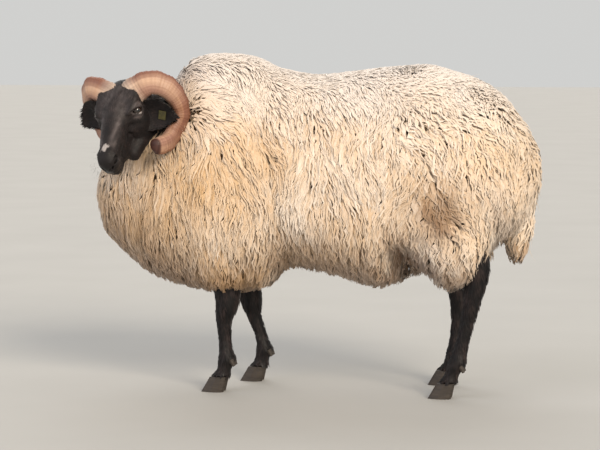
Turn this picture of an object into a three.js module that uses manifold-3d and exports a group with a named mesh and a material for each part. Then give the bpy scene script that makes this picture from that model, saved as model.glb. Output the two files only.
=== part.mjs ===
// A horned hill sheep standing square, its head turned to its own left.
// Millimetres. The sheep faces -X, its left side is toward -Y, and up is +Z.
// The body follows the outline of the fleece and hair, out to the tips of the coat.

import * as THREE from "three";
import { mergeVertices } from "three/addons/utils/BufferGeometryUtils.js";
import Module from "manifold-3d";

const wasm = await Module();
wasm.setup();

const V = (x, y, z) => new THREE.Vector3(x, y, z);
const RAD = THREE.MathUtils.degToRad;
const clamp = THREE.MathUtils.clamp;
const lerp = THREE.MathUtils.lerp;

// ---------------------------------------------------------------- driving sizes

const GAP = 0.4; // clearance left between two pieces that meet
const CORNER_GAP = 1.4; // the same round sharp-edged pieces, whose edges grow less than their faces

// Fleece lines along the body: [x, value].
const BACK_LINE = [
  [-340, 770], [-230, 785], [-100, 760], [0, 744], [100, 754], [220, 766], [300, 764], [380, 735],
];
const BELLY_LINE = [
  [-340, 262], [-230, 240], [-125, 243], [-80, 292], [-20, 292], [80, 264], [150, 248], [260, 292], [380, 325],
];
const FLANK_LINE = [[-340, 178], [-230, 208], [-60, 202], [120, 214], [280, 210], [380, 185]];
const BARREL = { front: -235, back: 230, round: 160, middle: 0.42, power: 2.35 };

const RUMP = { at: V(280, 0, 505), front: 150, back: 244, side: 208, up: 252, down: 188 };
const CHEST = { at: V(-268, 0, 470), front: 240, back: 170, side: 200, up: 250, down: 234 };
const RUFF = { at: V(-238, 0, 610), front: 94, back: 130, side: 150, up: 176, down: 190, power: 4 };
const TROUSER = { x: 322, y: 104, z: 392, front: 92, back: 100, side: 88, up: 130, down: 138 };
const SLEEVE = { x: -215, y: 92, z: 345, front: 80, back: 96, side: 84, up: 110, down: 110 };
const NECK = {
  from: V(-262, 12, 570), fromRadius: 142, to: V(-392, -84, 618), toRadius: 84,
  bib: V(-408, -34, 468), bibRadii: V(118, 112, 124),
};
const NECK_CUT = { at: V(-322, 0, 640), normal: V(-0.94, -0.2, 0.28) };

// The tail hangs from the dock as a flat woolly club: [z, x, fore-and-aft radius, side radius].
const TAIL = [
  [612, 462, 30, 30], [570, 478, 46, 44], [500, 481, 45, 46], [430, 479, 39, 45], [375, 477, 36, 40], [335, 476, 28, 30],
  [318, 475, 12, 13],
];

// Limbs from the body down to the coronet: [z, x, fore-and-aft radius, side radius].
const LIMBS = {
  leg_front_left: { y: -92, line: [
    [350, -218, 48, 36], [290, -204, 38, 32], [225, -200, 31, 28], [196, -203, 26, 27], [170, -208, 20, 21],
    [130, -207, 16.5, 18], [98, -204, 18, 20], [80, -202, 22, 23], [58, -208, 19, 21], [36.5, -216, 22, 24],
  ] },
  leg_front_right: { y: 92, line: [
    [350, -206, 48, 36], [290, -194, 38, 32], [225, -184, 30, 28], [190, -179, 26, 27], [165, -174, 20, 21],
    [125, -160, 16.5, 18], [96, -151, 18, 20], [79, -147, 22, 23], [58, -152, 19, 21], [36.5, -159, 22, 24],
  ] },
  leg_hind_left: { y: -104, line: [
    [375, 345, 66, 44], [325, 378, 42, 30], [292, 390, 30, 25], [245, 383, 24, 22], [205, 375, 19.5, 19],
    [150, 362, 17, 18], [105, 351, 19, 20], [82, 345, 23, 23], [58, 334, 19, 21], [36.5, 324, 22, 24],
  ] },
  leg_hind_right: { y: 104, line: [
    [375, 300, 66, 44], [325, 318, 42, 30], [288, 322, 32, 25], [243, 322, 26, 22], [200, 324, 19.5, 19],
    [150, 324, 17, 18], [105, 321, 19, 20], [82, 319, 23, 23], [58, 309, 19, 21], [36.5, 299, 22, 24],
  ] },
};

const CLAW = {
  toe: 33, heel: 21, width: 22, height: 36, spread: 13.2, lean: 13, shrink: 0.24, point: 0.5, waist: 0.1,
};
const DEWCLAW = { length: 17, radius: 7, spread: 13, z: 70, sunk: 3, splay: 0.5 };

// Pose of the head, and where the poll sits.
const POLL = V(-436, -200, 735);
const HEAD_POSE = { heading: -104.5, pitch: 52, roll: 5 };

const EYE = { radius: 13.5, at: V(62, 47, -37) };
const EAR = {
  root: V(-22, 44, -74), tip: V(-42, 124, -96), width: 33, thickness: 3.4, cup: 10, lift: 8,
};
const HORN = {
  line: {
    left: [
      [-16, 24, -46], [-14, 48, -24], [-16, 76, -12], [-34, 104, -22], [-60, 119, -54],
      [-72, 120, -90], [-58, 106, -126], [-35, 101, -146], [-8, 95, -154], [18, 89, -158],
    ],
    right: [
      [-16, 24, -46], [-14, 48, -24], [-18, 74, -13], [-36, 96, -26], [-58, 106, -54],
      [-66, 104, -86], [-58, 92, -114], [-44, 74, -134], [-24, 60, -148], [-4, 54, -155],
    ],
  },
  rootHeight: 30, rootDepth: 22, tipHeight: 20, tipDepth: 16, rings: 12, ridge: 0.9,
};
const TAG = { width: 17, height: 21, thickness: 1.6, pin: 2, button: 7, along: 0.62 };

// Grid steps used where a smooth body is turned into facets.
const CELL = { fleece: 42, head: 15 };

// ---------------------------------------------------------------- solids and facets

/** A closed BufferGeometry as a solid that can be joined and cut. */
function solidOf(geometry) {
  const bare = geometry.clone();
  bare.deleteAttribute("normal");
  bare.deleteAttribute("uv");
  const merged = mergeVertices(bare, 1e-3);
  return new wasm.Manifold(new wasm.Mesh({
    numProp: 3,
    vertProperties: merged.attributes.position.array,
    triVerts: new Uint32Array(merged.index.array),
  }));
}

/** A solid back as a BufferGeometry. */
function geometryOf(solid) {
  const mesh = solid.getMesh();
  const geometry = new THREE.BufferGeometry();
  geometry.setAttribute("position", new THREE.BufferAttribute(new Float32Array(mesh.vertProperties), 3));
  geometry.setIndex(new THREE.BufferAttribute(new Uint32Array(mesh.triVerts), 1));
  geometry.computeVertexNormals();
  return geometry;
}

/** A geometry from plain arrays, turned so that its faces point outward. */
function closedGeometry(points, faces) {
  let volume = 0;
  for (const [a, b, c] of faces) {
    volume += points[a].dot(points[b].clone().cross(points[c]));
  }
  const turned = volume < 0 ? faces.map(([a, b, c]) => [a, c, b]) : faces;
  const geometry = new THREE.BufferGeometry().setFromPoints(points);
  geometry.setIndex(turned.flat());
  geometry.computeVertexNormals();
  return geometry;
}

/** The same body grown by a clearance along its normals. */
function grown(geometry, by) {
  const bare = geometry.clone();
  bare.deleteAttribute("uv");
  bare.deleteAttribute("normal");
  const body = mergeVertices(bare, 1e-3);
  body.computeVertexNormals();
  const place = body.attributes.position;
  const normal = body.attributes.normal;
  for (let i = 0; i < place.count; i++) {
    place.setXYZ(
      i,
      place.getX(i) + by * normal.getX(i),
      place.getY(i) + by * normal.getY(i),
      place.getZ(i) + by * normal.getZ(i),
    );
  }
  return body;
}

/** A body made of rings: ring(t, angle) gives a point, t runs 0 to 1, and both ends are capped. */
function loft(ring, steps, sides) {
  const points = [];
  const faces = [];
  for (let i = 0; i <= steps; i++) {
    for (let j = 0; j < sides; j++) {
      points.push(ring(i / steps, (2 * Math.PI * j) / sides));
    }
  }
  for (let i = 0; i < steps; i++) {
    for (let j = 0; j < sides; j++) {
      const a = i * sides + j;
      const b = i * sides + ((j + 1) % sides);
      faces.push([a, b, b + sides], [a, b + sides, a + sides]);
    }
  }
  for (const [first, turned] of [[0, true], [steps * sides, false]]) {
    const middle = V(0, 0, 0);
    for (let j = 0; j < sides; j++) middle.addScaledVector(points[first + j], 1 / sides);
    const pole = points.push(middle) - 1;
    for (let j = 0; j < sides; j++) {
      const a = first + j;
      const b = first + ((j + 1) % sides);
      faces.push(turned ? [pole, b, a] : [pole, a, b]);
    }
  }
  return closedGeometry(points, faces);
}

/** A value read off a line of [x, value, ...] rows at x, eased between rows (rows may run up or down). */
function along(line, x, column = 1) {
  const rising = line[line.length - 1][0] > line[0][0];
  const rows = rising ? line : [...line].reverse();
  if (x <= rows[0][0]) return rows[0][column];
  const i = rows.findIndex((row) => row[0] >= x);
  if (i < 0) return rows[rows.length - 1][column];
  const pick = (k) => rows[clamp(k, 0, rows.length - 1)];
  const [p0, p1, p2, p3] = [pick(i - 2), pick(i - 1), pick(i), pick(i + 1)];
  const span = p2[0] - p1[0];
  const t = (x - p1[0]) / span;
  const slope = (a, b) => (b[0] === a[0] ? 0 : ((b[column] - a[column]) / (b[0] - a[0])) * span);
  const m1 = slope(p0, p2);
  const m2 = slope(p1, p3);
  const t2 = t * t;
  const t3 = t2 * t;
  return (2 * t3 - 3 * t2 + 1) * p1[column] + (t3 - 2 * t2 + t) * m1
    + (3 * t2 - 2 * t3) * p2[column] + (t3 - t2) * m2;
}

// ---------------------------------------------------------------- smooth bodies

/** Egg: an ellipsoid whose radii differ front and back, up and down. */
const egg = ({ at, front, back, side, up, down, power = 2 }) => (p) => {
  const dx = p.x - at.x;
  const dy = p.y - at.y;
  const dz = p.z - at.z;
  const rx = dx < 0 ? front : back;
  const rz = dz > 0 ? up : down;
  const k = (Math.abs(dx / rx) ** power + Math.abs(dy / side) ** power + Math.abs(dz / rz) ** power) ** (1 / power);
  const g = Math.hypot(dx / rx / rx, dy / side / side, dz / rz / rz);
  return k < 1e-6 ? -Math.min(rx, side, rz) : (k * (k - 1)) / g;
};

/** Ball stretched to three radii. */
const ball = (at, r) => egg({ at, front: r.x, back: r.x, side: r.y, up: r.z, down: r.z });

/** Tapered rod with round ends. */
const rod = (from, to, r1, r2) => {
  const axis = to.clone().sub(from);
  const length2 = axis.lengthSq();
  const foot = V(0, 0, 0);
  return (p) => {
    const t = clamp(foot.subVectors(p, from).dot(axis) / length2, 0, 1);
    return foot.copy(from).addScaledVector(axis, t).distanceTo(p) - lerp(r1, r2, t);
  };
};

/** Several bodies run together with a soft seam. */
const blend = (soft, ...bodies) => (p) => {
  let d = bodies[0](p);
  for (let i = 1; i < bodies.length; i++) {
    const e = bodies[i](p);
    const h = Math.max(soft - Math.abs(d - e), 0) / soft;
    d = Math.min(d, e) - (h * h * soft) / 4;
  }
  return d;
};

/** Facets of the surface where a field is zero, on a grid of square cells. */
function facets(field, low, high, cell) {
  const n = ["x", "y", "z"].map((k) => Math.ceil((high[k] - low[k]) / cell) + 1);
  const index = (i, j, k) => (i * n[1] + j) * n[2] + k;
  const at = (i, j, k) => V(low.x + i * cell, low.y + j * cell, low.z + k * cell);
  const value = new Float64Array(n[0] * n[1] * n[2]);
  const everyNode = (visit, from = 0) => {
    for (let i = from; i < n[0] - 1 + (from ? 0 : 1); i++) {
      for (let j = from; j < n[1] - 1 + (from ? 0 : 1); j++) {
        for (let k = from; k < n[2] - 1 + (from ? 0 : 1); k++) visit(i, j, k);
      }
    }
  };
  everyNode((i, j, k) => {
    value[index(i, j, k)] = field(at(i, j, k));
  });
  const corners = [0, 1, 2, 3, 4, 5, 6, 7].map((c) => [c & 1, (c >> 1) & 1, (c >> 2) & 1]);
  const edges = [];
  for (let a = 0; a < 8; a++) {
    for (const bit of [1, 2, 4]) if (!(a & bit)) edges.push([a, a | bit]);
  }
  const vertexOf = new Map();
  const points = [];
  for (let i = 0; i < n[0] - 1; i++) {
    for (let j = 0; j < n[1] - 1; j++) {
      for (let k = 0; k < n[2] - 1; k++) {
        const v = corners.map(([a, b, c]) => value[index(i + a, j + b, k + c)]);
        const sum = V(0, 0, 0);
        let count = 0;
        for (const [a, b] of edges) {
          if (v[a] < 0 === v[b] < 0) continue;
          const t = v[a] / (v[a] - v[b]);
          sum.add(V(...corners[a]).lerp(V(...corners[b]), t));
          count++;
        }
        if (!count) continue;
        const point = at(i, j, k).addScaledVector(sum, cell / count);
        vertexOf.set(index(i, j, k), points.push(settle(field, point, cell)) - 1);
      }
    }
  }
  const faces = [];
  const axes = [[1, 0, 0], [0, 1, 0], [0, 0, 1]];
  everyNode((i, j, k) => {
    const here = value[index(i, j, k)] < 0;
    axes.forEach(([a, b, c], axis) => {
      if (here === value[index(i + a, j + b, k + c)] < 0) return;
      const u = axes[(axis + 1) % 3];
      const w = axes[(axis + 2) % 3];
      const quad = [[0, 0], [1, 0], [1, 1], [0, 1]].map(([s, t]) =>
        vertexOf.get(index(i - s * u[0] - t * w[0], j - s * u[1] - t * w[1], k - s * u[2] - t * w[2])));
      if (!here) quad.reverse();
      const across = points[quad[0]].distanceTo(points[quad[2]]) <= points[quad[1]].distanceTo(points[quad[3]]);
      const [p, q, r, s] = quad;
      faces.push(...(across ? [[p, q, r], [p, r, s]] : [[p, q, s], [q, r, s]]));
    });
  }, 1);
  return closedGeometry(points, faces);
}

/** A point moved onto the surface where the field is zero, by no more than half a cell. */
function settle(field, point, cell) {
  const step = cell * 0.05;
  const d = field(point);
  const slope = V(
    field(V(point.x + step, point.y, point.z)) - d,
    field(V(point.x, point.y + step, point.z)) - d,
    field(V(point.x, point.y, point.z + step)) - d,
  ).divideScalar(step);
  const move = clamp(-d / Math.max(slope.lengthSq(), 0.1), -cell / 2, cell / 2);
  return point.addScaledVector(slope, move);
}

// ---------------------------------------------------------------- fleece

/** The long barrel of the body, read off the back, belly and flank lines. */
function barrel(p) {
  const top = along(BACK_LINE, p.x);
  const bottom = along(BELLY_LINE, p.x);
  const side = along(FLANK_LINE, p.x);
  const middle = lerp(bottom, top, BARREL.middle);
  const tall = p.z > middle ? top - middle : middle - bottom;
  const n = BARREL.power;
  const past = Math.max(BARREL.front - p.x, p.x - BARREL.back, 0) / BARREL.round;
  const k = (Math.abs(p.y / side) ** n + Math.abs((p.z - middle) / tall) ** n + past ** n) ** (1 / n);
  return (k - 1) * Math.min(side, tall);
}

const paired = (shape) => [-1, 1].map((hand) => egg({ ...shape, at: V(shape.x, hand * shape.y, shape.z) }));

const fleece = blend(
  26,
  barrel,
  egg(RUMP),
  egg(CHEST),
  egg(RUFF),
  rod(NECK.from, NECK.to, NECK.fromRadius, NECK.toRadius),
  ball(NECK.bib, NECK.bibRadii),
  ...paired(TROUSER),
  ...paired(SLEEVE),
);

const fleeceSolid = solidOf(facets(fleece, V(-585, -290, 180), V(590, 290, 840), CELL.fleece));

/** A large block that keeps one side of a plane. */
function halfSpace(at, normal, clearance) {
  const size = 3000;
  const n = normal.clone().normalize();
  const block = new THREE.BoxGeometry(size, size, size);
  block.translate(0, 0, size / 2 + clearance);
  block.applyQuaternion(new THREE.Quaternion().setFromUnitVectors(V(0, 0, 1), n));
  block.translate(at.x, at.y, at.z);
  return solidOf(block);
}

const neckSide = halfSpace(NECK_CUT.at, NECK_CUT.normal, GAP / 2);
const trunkSide = halfSpace(NECK_CUT.at, NECK_CUT.normal.clone().negate(), GAP / 2);

// ---------------------------------------------------------------- head, eyes, ears, horns

const levelPose = new THREE.Matrix4().makeTranslation(POLL.x, POLL.y, POLL.z)
  .multiply(new THREE.Matrix4().makeRotationZ(RAD(HEAD_POSE.heading)))
  .multiply(new THREE.Matrix4().makeRotationX(RAD(HEAD_POSE.roll)));
const headPose = levelPose.clone().multiply(new THREE.Matrix4().makeRotationY(RAD(HEAD_POSE.pitch)));

/** The head with x from poll to nose, y to its left and z out of the forehead. */
function headField() {
  const sides = [-1, 1];
  const each = (make) => sides.map(make);
  return blend(
    14,
    ball(V(26, 0, -46), V(58, 52, 48)),
    ball(V(56, 0, -40), V(50, 50, 34)),
    rod(V(75, 0, -38), V(184, 0, -36), 35, 24),
    ball(V(196, 0, -44), V(26, 24, 29)),
    rod(V(145, 0, -76), V(192, 0, -70), 23, 18),
    rod(V(45, 0, -88), V(145, 0, -78), 40, 24),
    ball(V(4, 0, -84), V(58, 48, 54)),
    ...each((s) => ball(V(54, s * 36, -76), V(50, 28, 45))),
    ...each((s) => ball(V(60, s * 40, -25), V(24, 15, 13))),
    ...each((s) => ball(V(62, s * 43, -47), V(22, 12, 12))),
  );
}

/** Curl of one horn: out of the poll, back, down behind the ear and forward to the jaw. */
const hornPoints = (hand) => HORN.line[hand > 0 ? "left" : "right"].map(([x, y, z]) => V(x, hand * y, z));

/** Middle of the loop that a horn curls round; the crest of its section faces away from it. */
const hornMiddle = (points) =>
  points.reduce((sum, point) => sum.addScaledVector(point, 1 / points.length), V(0, 0, 0));

/** One horn, oval in section, with growth rings. */
function horn(hand) {
  const points = hornPoints(hand);
  const curve = new THREE.CatmullRomCurve3(points, false, "centripetal");
  const middle = hornMiddle(points);
  const ring = (t, angle) => {
    const here = curve.getPointAt(t);
    const tangent = curve.getTangentAt(t);
    const out = here.clone().sub(middle);
    out.addScaledVector(tangent, -out.dot(tangent)).normalize();
    const flank = tangent.clone().cross(out);
    const swell = 1 + (HORN.ridge / HORN.rootDepth) * Math.cos(2 * Math.PI * HORN.rings * t);
    const end = 1 - 0.28 * Math.max(0, (t - 0.94) / 0.06) ** 2;
    const tall = lerp(HORN.rootHeight, HORN.tipHeight, t) * swell * end;
    const deep = lerp(HORN.rootDepth, HORN.tipDepth, t) * swell * end;
    return here.addScaledVector(out, tall * Math.cos(angle)).addScaledVector(flank, deep * Math.sin(angle));
  };
  return loft(ring, HORN.rings * 2, 10);
}

/** Frame of an ear at t from root to tip: centre, width direction, thickness direction, half width. */
function earFrame(t, hand) {
  const mirror = (v) => V(v.x, hand * v.y, v.z);
  const centre = mirror(EAR.root).lerp(mirror(EAR.tip), t);
  centre.z += EAR.lift * Math.sin(Math.PI * t);
  const lengthwise = mirror(EAR.tip).sub(mirror(EAR.root)).normalize();
  const face = V(0.86, hand * 0.25, -0.32);
  face.addScaledVector(lengthwise, -face.dot(lengthwise)).normalize();
  const across = face.clone().cross(lengthwise);
  const leaf = Math.max(0, Math.sin(Math.PI * (0.2 + 0.78 * t) ** 0.8));
  const half = EAR.width * Math.max(0.1, leaf ** 0.75);
  return { centre, lengthwise, across, face, half };
}

/** One ear: a cupped leaf, open toward the front, grown all round by a clearance when it is used to cut. */
function ear(hand, clearance = 0) {
  const ring = (t, angle) => {
    const { centre, lengthwise, across, face, half } = earFrame(t, hand);
    const side = Math.cos(angle);
    const hollow = EAR.cup * Math.sin(Math.PI * Math.sqrt(t)) * side * side;
    const beyond = (t === 1 ? clearance : 0) - (t === 0 ? clearance : 0);
    return centre
      .addScaledVector(lengthwise, beyond)
      .addScaledVector(across, (half + clearance) * side)
      .addScaledVector(face, hollow + (EAR.thickness + clearance) * Math.sin(angle));
  };
  return loft(ring, 10, 14);
}

/** Blank ear tag: a plate in front of the ear, a pin through it and a button behind. */
function tag() {
  const { centre, across, face } = earFrame(TAG.along, 1);
  const upright = new THREE.Matrix4().makeBasis(across.clone().cross(face), across, face);
  upright.setPosition(centre);
  const front = EAR.thickness + 3;
  const plate = new THREE.BoxGeometry(TAG.width, TAG.height, TAG.thickness);
  plate.translate(0, -TAG.height / 4, front);
  const pin = new THREE.CylinderGeometry(TAG.pin, TAG.pin, 2 * front, 10).rotateX(Math.PI / 2);
  const button = new THREE.CylinderGeometry(TAG.button, TAG.button, TAG.thickness, 16).rotateX(Math.PI / 2);
  button.translate(0, 0, -front);
  const whole = solidOf(plate).add(solidOf(pin)).add(solidOf(button));
  return { body: geometryOf(whole).applyMatrix4(upright), pin: pin.clone().applyMatrix4(upright) };
}

const eyeball = (hand) => {
  const sphere = new THREE.SphereGeometry(EYE.radius, 12, 8);
  sphere.translate(EYE.at.x, hand * EYE.at.y, EYE.at.z);
  return sphere;
};

// ---------------------------------------------------------------- legs and feet

/** A limb or the tail: level rings down a line of [z, x, fore-and-aft radius, side radius]. */
function limb(line, y, sides, step) {
  const top = line[0][0];
  const bottom = line[line.length - 1][0];
  const ring = (t, angle) => {
    const z = lerp(top, bottom, t);
    return V(
      along(line, z, 1) + along(line, z, 2) * Math.cos(angle),
      y + along(line, z, 3) * Math.sin(angle),
      z,
    );
  };
  return loft(ring, Math.round((top - bottom) / step), sides);
}

/** One claw of a hoof, standing flat on the ground with its toe forward. */
function claw(x, y) {
  const ring = (t, angle) => {
    const toward = Math.cos(angle);
    const reach = toward > 0 ? CLAW.toe : CLAW.heel;
    const narrow = toward > 0 ? 1 - CLAW.point * toward * toward : 1;
    return V(
      x - toward * reach * (1 - CLAW.shrink * t) - CLAW.lean * (1 - t),
      y + Math.sin(angle) * (CLAW.width / 2) * narrow * (1 - CLAW.waist * t),
      CLAW.height * t,
    );
  };
  return loft(ring, 3, 10);
}

/** One small blunt claw behind the fetlock, pointing down and back. */
function dewclaw(x, y) {
  const cone = new THREE.CylinderGeometry(DEWCLAW.radius, DEWCLAW.radius / 2, DEWCLAW.length, 8);
  cone.rotateX(Math.PI / 2);
  cone.rotateY(-DEWCLAW.splay);
  cone.translate(x, y, DEWCLAW.z);
  return cone;
}

// ---------------------------------------------------------------- materials

const finish = (color, roughness) => () =>
  new THREE.MeshStandardMaterial({ color, roughness, metalness: 0 });
const FLEECE = finish(0xdcc7a4, 1);
const BLACK_HAIR = finish(0x241f1e, 0.8);
const HORNY = finish(0xc79a76, 0.55);
const HOOF = finish(0x2b2622, 0.6);
const EYE_SHINE = finish(0x6b4a1c, 0.12);
const TAG_PLASTIC = finish(0xa8962e, 0.5);

// ---------------------------------------------------------------- assembly

const sheep = new THREE.Group();
sheep.name = "sheep";

function place(name, geometry, material) {
  const mesh = new THREE.Mesh(geometry, material());
  mesh.name = name;
  sheep.add(mesh);
}

/** The main body left once every cutter is taken out of a solid. */
function cutFor(solid, cutters) {
  const left = cutters.reduce((body, cutter) => body.subtract(solidOf(cutter)), solid);
  return geometryOf(left.decompose().sort((a, b) => b.volume() - a.volume())[0]);
}

function buildHead() {
  const hands = { left: 1, right: -1 };
  const horns = {};
  const ears = {};
  const eyes = {};
  for (const [side, hand] of Object.entries(hands)) {
    horns[side] = horn(hand).applyMatrix4(levelPose);
    ears[side] = ear(hand).applyMatrix4(levelPose);
    eyes[side] = eyeball(hand).applyMatrix4(headPose);
  }
  const label = tag();
  const labelBody = label.body.applyMatrix4(levelPose);
  const labelPin = label.pin.applyMatrix4(levelPose);
  const face = facets(headField(), V(-84, -96, -176), V(240, 96, 40), CELL.head).applyMatrix4(headPose);
  const earCutters = Object.values(hands).map((hand) => ear(hand, CORNER_GAP).applyMatrix4(levelPose));
  const hornCutters = Object.values(horns).map((body) => grown(body, GAP));
  const eyeCutters = Object.values(eyes).map((body) => grown(body, GAP));
  place("head", cutFor(solidOf(face), [...hornCutters, ...eyeCutters, ...earCutters]), BLACK_HAIR);
  for (const side of Object.keys(hands)) {
    place("horn_" + side, horns[side], HORNY);
    const pierced = side === "left" ? [...hornCutters, grown(labelPin, CORNER_GAP)] : hornCutters;
    place("ear_" + side, cutFor(solidOf(ears[side]), pierced), BLACK_HAIR);
    place("eye_" + side, eyes[side], EYE_SHINE);
  }
  place("ear_tag", labelBody, TAG_PLASTIC);
  return [grown(face, GAP), ...hornCutters, ...earCutters];
}

/** One leg with the two claws it stands on and the two small ones behind its fetlock. */
function buildLeg(name, { y, line }) {
  const footX = along(line, CLAW.height, 1);
  const backX = along(line, DEWCLAW.z, 1) + along(line, DEWCLAW.z, 2) - DEWCLAW.sunk;
  const leg = limb(line, y, 10, 26);
  const small = {};
  for (const [half, hand] of [["inner", -Math.sign(y)], ["outer", Math.sign(y)]]) {
    place(name.replace("leg", "hoof_" + half), claw(footX, y + hand * CLAW.spread), HOOF);
    small["dewclaw_" + half] = dewclaw(backX, y + hand * DEWCLAW.spread);
  }
  const cutters = Object.values(small).map((body) => grown(body, CORNER_GAP));
  place(name, cutFor(solidOf(leg), cutters), BLACK_HAIR);
  for (const [part, body] of Object.entries(small)) place(name.replace("leg", part), body, HOOF);
  return grown(leg, CORNER_GAP);
}

const headCutters = buildHead();
const legCutters = Object.entries(LIMBS).map(([name, shape]) => buildLeg(name, shape));
const tail = limb(TAIL, 0, 14, 21);

const trunkCutters = [...legCutters, grown(tail, CORNER_GAP), ...headCutters];
place("trunk", cutFor(fleeceSolid.intersect(trunkSide), trunkCutters), FLEECE);
place("neck", cutFor(fleeceSolid.intersect(neckSide), headCutters), FLEECE);
place("tail", tail, FLEECE);

// The origin is the middle of the ground that the whole sheep covers.
const extent = new THREE.Box3().setFromObject(sheep);
sheep.position.set(
  -(extent.min.x + extent.max.x) / 2,
  -(extent.min.y + extent.max.y) / 2,
  -extent.min.z,
);

export default sheep;
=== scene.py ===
"""A horned hill sheep in full fleece, its head turned to its left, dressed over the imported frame.

Sizes are in millimetres on the sheep's own axes: it faces -X and its left side is toward -Y. They
are moved to the frame, in metres, where a piece is made.
"""

import sys
import logging
import math
from dataclasses import dataclass
from enum import Enum
from typing import Callable, ClassVar, Sequence

import bpy
import numpy as np
from mathutils import Matrix, Vector


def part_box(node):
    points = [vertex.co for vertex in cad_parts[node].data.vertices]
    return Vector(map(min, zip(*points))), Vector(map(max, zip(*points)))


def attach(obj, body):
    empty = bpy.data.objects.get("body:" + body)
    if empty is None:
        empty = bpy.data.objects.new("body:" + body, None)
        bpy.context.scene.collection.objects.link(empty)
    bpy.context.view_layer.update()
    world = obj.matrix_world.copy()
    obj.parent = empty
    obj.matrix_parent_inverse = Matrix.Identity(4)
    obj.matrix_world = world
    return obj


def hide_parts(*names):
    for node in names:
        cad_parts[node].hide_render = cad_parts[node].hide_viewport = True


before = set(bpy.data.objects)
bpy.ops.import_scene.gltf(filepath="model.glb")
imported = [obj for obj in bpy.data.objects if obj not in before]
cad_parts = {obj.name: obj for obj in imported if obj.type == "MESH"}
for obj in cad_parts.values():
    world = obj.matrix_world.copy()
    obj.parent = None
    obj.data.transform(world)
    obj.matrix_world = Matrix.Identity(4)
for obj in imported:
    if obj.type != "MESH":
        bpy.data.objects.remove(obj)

Array = np.ndarray
Field = Callable[[Array], Array]
Material, Mesh, Object = bpy.types.Material, bpy.types.Mesh, bpy.types.Object
Node, Socket, Tree = bpy.types.Node, bpy.types.NodeSocket, bpy.types.NodeTree
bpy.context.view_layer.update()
LOG = logging.getLogger("sheep")
SEED = 20
MM = 1000  # millimetres in a metre


# ------------------------------------------------------------------ small mathematics


def unit(v: Array) -> Array:
    """Vectors of length one."""
    return v / np.maximum(np.linalg.norm(v, axis=-1, keepdims=True), 1e-9)


def dot(a: Array, b: Array) -> Array:
    """Row by row dot product."""
    return np.einsum("...k,...k->...", a, b)


def ease(low: float, high: float, x: Array) -> Array:
    """0 below low, 1 above high, and smooth between; low may be the larger."""
    t = np.clip((x - low) / (high - low), 0.0, 1.0)
    return t * t * (3.0 - 2.0 * t)


def wobble(points: Array, size: float, seed: int, channels: int = 1) -> Array:
    """A smooth random field.

    Args:
        points: places, in millimetres.
        size: the length over which it changes, in millimetres.
        seed: picks the field.
        channels: how many values each place gets.

    Returns:
        Values of about -1 to 1, one column for each channel.
    """
    rng = np.random.default_rng(seed)
    total = np.zeros((len(points), channels))
    for _ in range(7):
        wave = unit(rng.normal(size=(channels, 3))) / size * rng.uniform(0.6, 1.6, (channels, 1))
        total += np.sin(2 * np.pi * points @ wave.T / 2 + rng.uniform(0, 7, channels))
    return total / 3.0


def hermite(t: Array, y1: Array, y2: Array, m1: Array, m2: Array) -> Array:
    """A cubic from y1 to y2 with slopes m1 and m2 at its ends, at each t from 0 to 1."""
    t2, t3 = t * t, t * t * t
    return (2 * t3 - 3 * t2 + 1) * y1 + (t3 - 2 * t2 + t) * m1 + (3 * t2 - 2 * t3) * y2 + (t3 - t2) * m2


class Line:
    """Sizes eased between rows of (station, size, ...)."""

    def __init__(self, rows: Sequence[Sequence[float]]) -> None:
        """Sorts the rows by station."""
        self.rows = np.array(sorted(rows), float)

    def __call__(self, at: Array, column: int = 1) -> Array:
        """The size in a column at each station."""
        x, y = self.rows[:, 0], self.rows[:, column]
        last = len(x) - 1
        at = np.clip(at, x[0], x[-1])
        i = np.clip(np.searchsorted(x, at), 1, last)
        low, high = np.maximum(i - 2, 0), np.minimum(i + 1, last)
        span = x[i] - x[i - 1]
        t = (at - x[i - 1]) / span
        m1 = (y[i] - y[low]) / (x[i] - x[low]) * span
        m2 = (y[high] - y[i - 1]) / (x[high] - x[i - 1]) * span
        return hermite(t, y[i - 1], y[i], m1, m2)


@dataclass(frozen=True)
class Pose:
    """A place and a turn, from a part's own axes to the sheep's."""

    matrix: Matrix

    def local(self, points: Array) -> Array:
        """Points of the sheep in the part's own axes."""
        return (points - np.array(self.matrix.translation)) @ np.array(self.matrix.to_3x3())

    def world(self, points: Array) -> Array:
        """Points of the part in the sheep's axes."""
        return points @ np.array(self.matrix.to_3x3()).T + np.array(self.matrix.translation)

    def turn(self, vectors: Array) -> Array:
        """Directions of the part in the sheep's axes."""
        return vectors @ np.array(self.matrix.to_3x3()).T


# ------------------------------------------------------------------ soft bodies as distance fields


def egg(
    at: Sequence[float], front: float, back: float, side: float, up: float, down: float, power: float = 2
) -> Field:
    """An ellipsoid whose radii differ front and back, up and down.

    Args:
        at: its middle.
        front: radius toward the head.
        back: radius toward the tail.
        side: radius to either side.
        up: radius above the middle.
        down: radius below it.
        power: 2 for an ellipsoid, more for a squarer body.

    Returns:
        Its field.
    """

    def field(p: Array) -> Array:
        """Signed distance, roughly."""
        d = p - np.array(at, float)
        fore, tall = np.where(d[:, 0] < 0, front, back), np.where(d[:, 2] > 0, up, down)
        r = np.stack([fore, np.full(len(p), side), tall], 1)
        k = np.sum(np.abs(d / r) ** power, 1) ** (1 / power)
        return k * (k - 1) / np.maximum(np.linalg.norm(d / r / r, axis=1), 1e-6)

    return field


def ball(at: Sequence[float], radii: Sequence[float]) -> Field:
    """A ball stretched to three radii."""
    return egg(at, radii[0], radii[0], radii[1], radii[2], radii[2])


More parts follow.
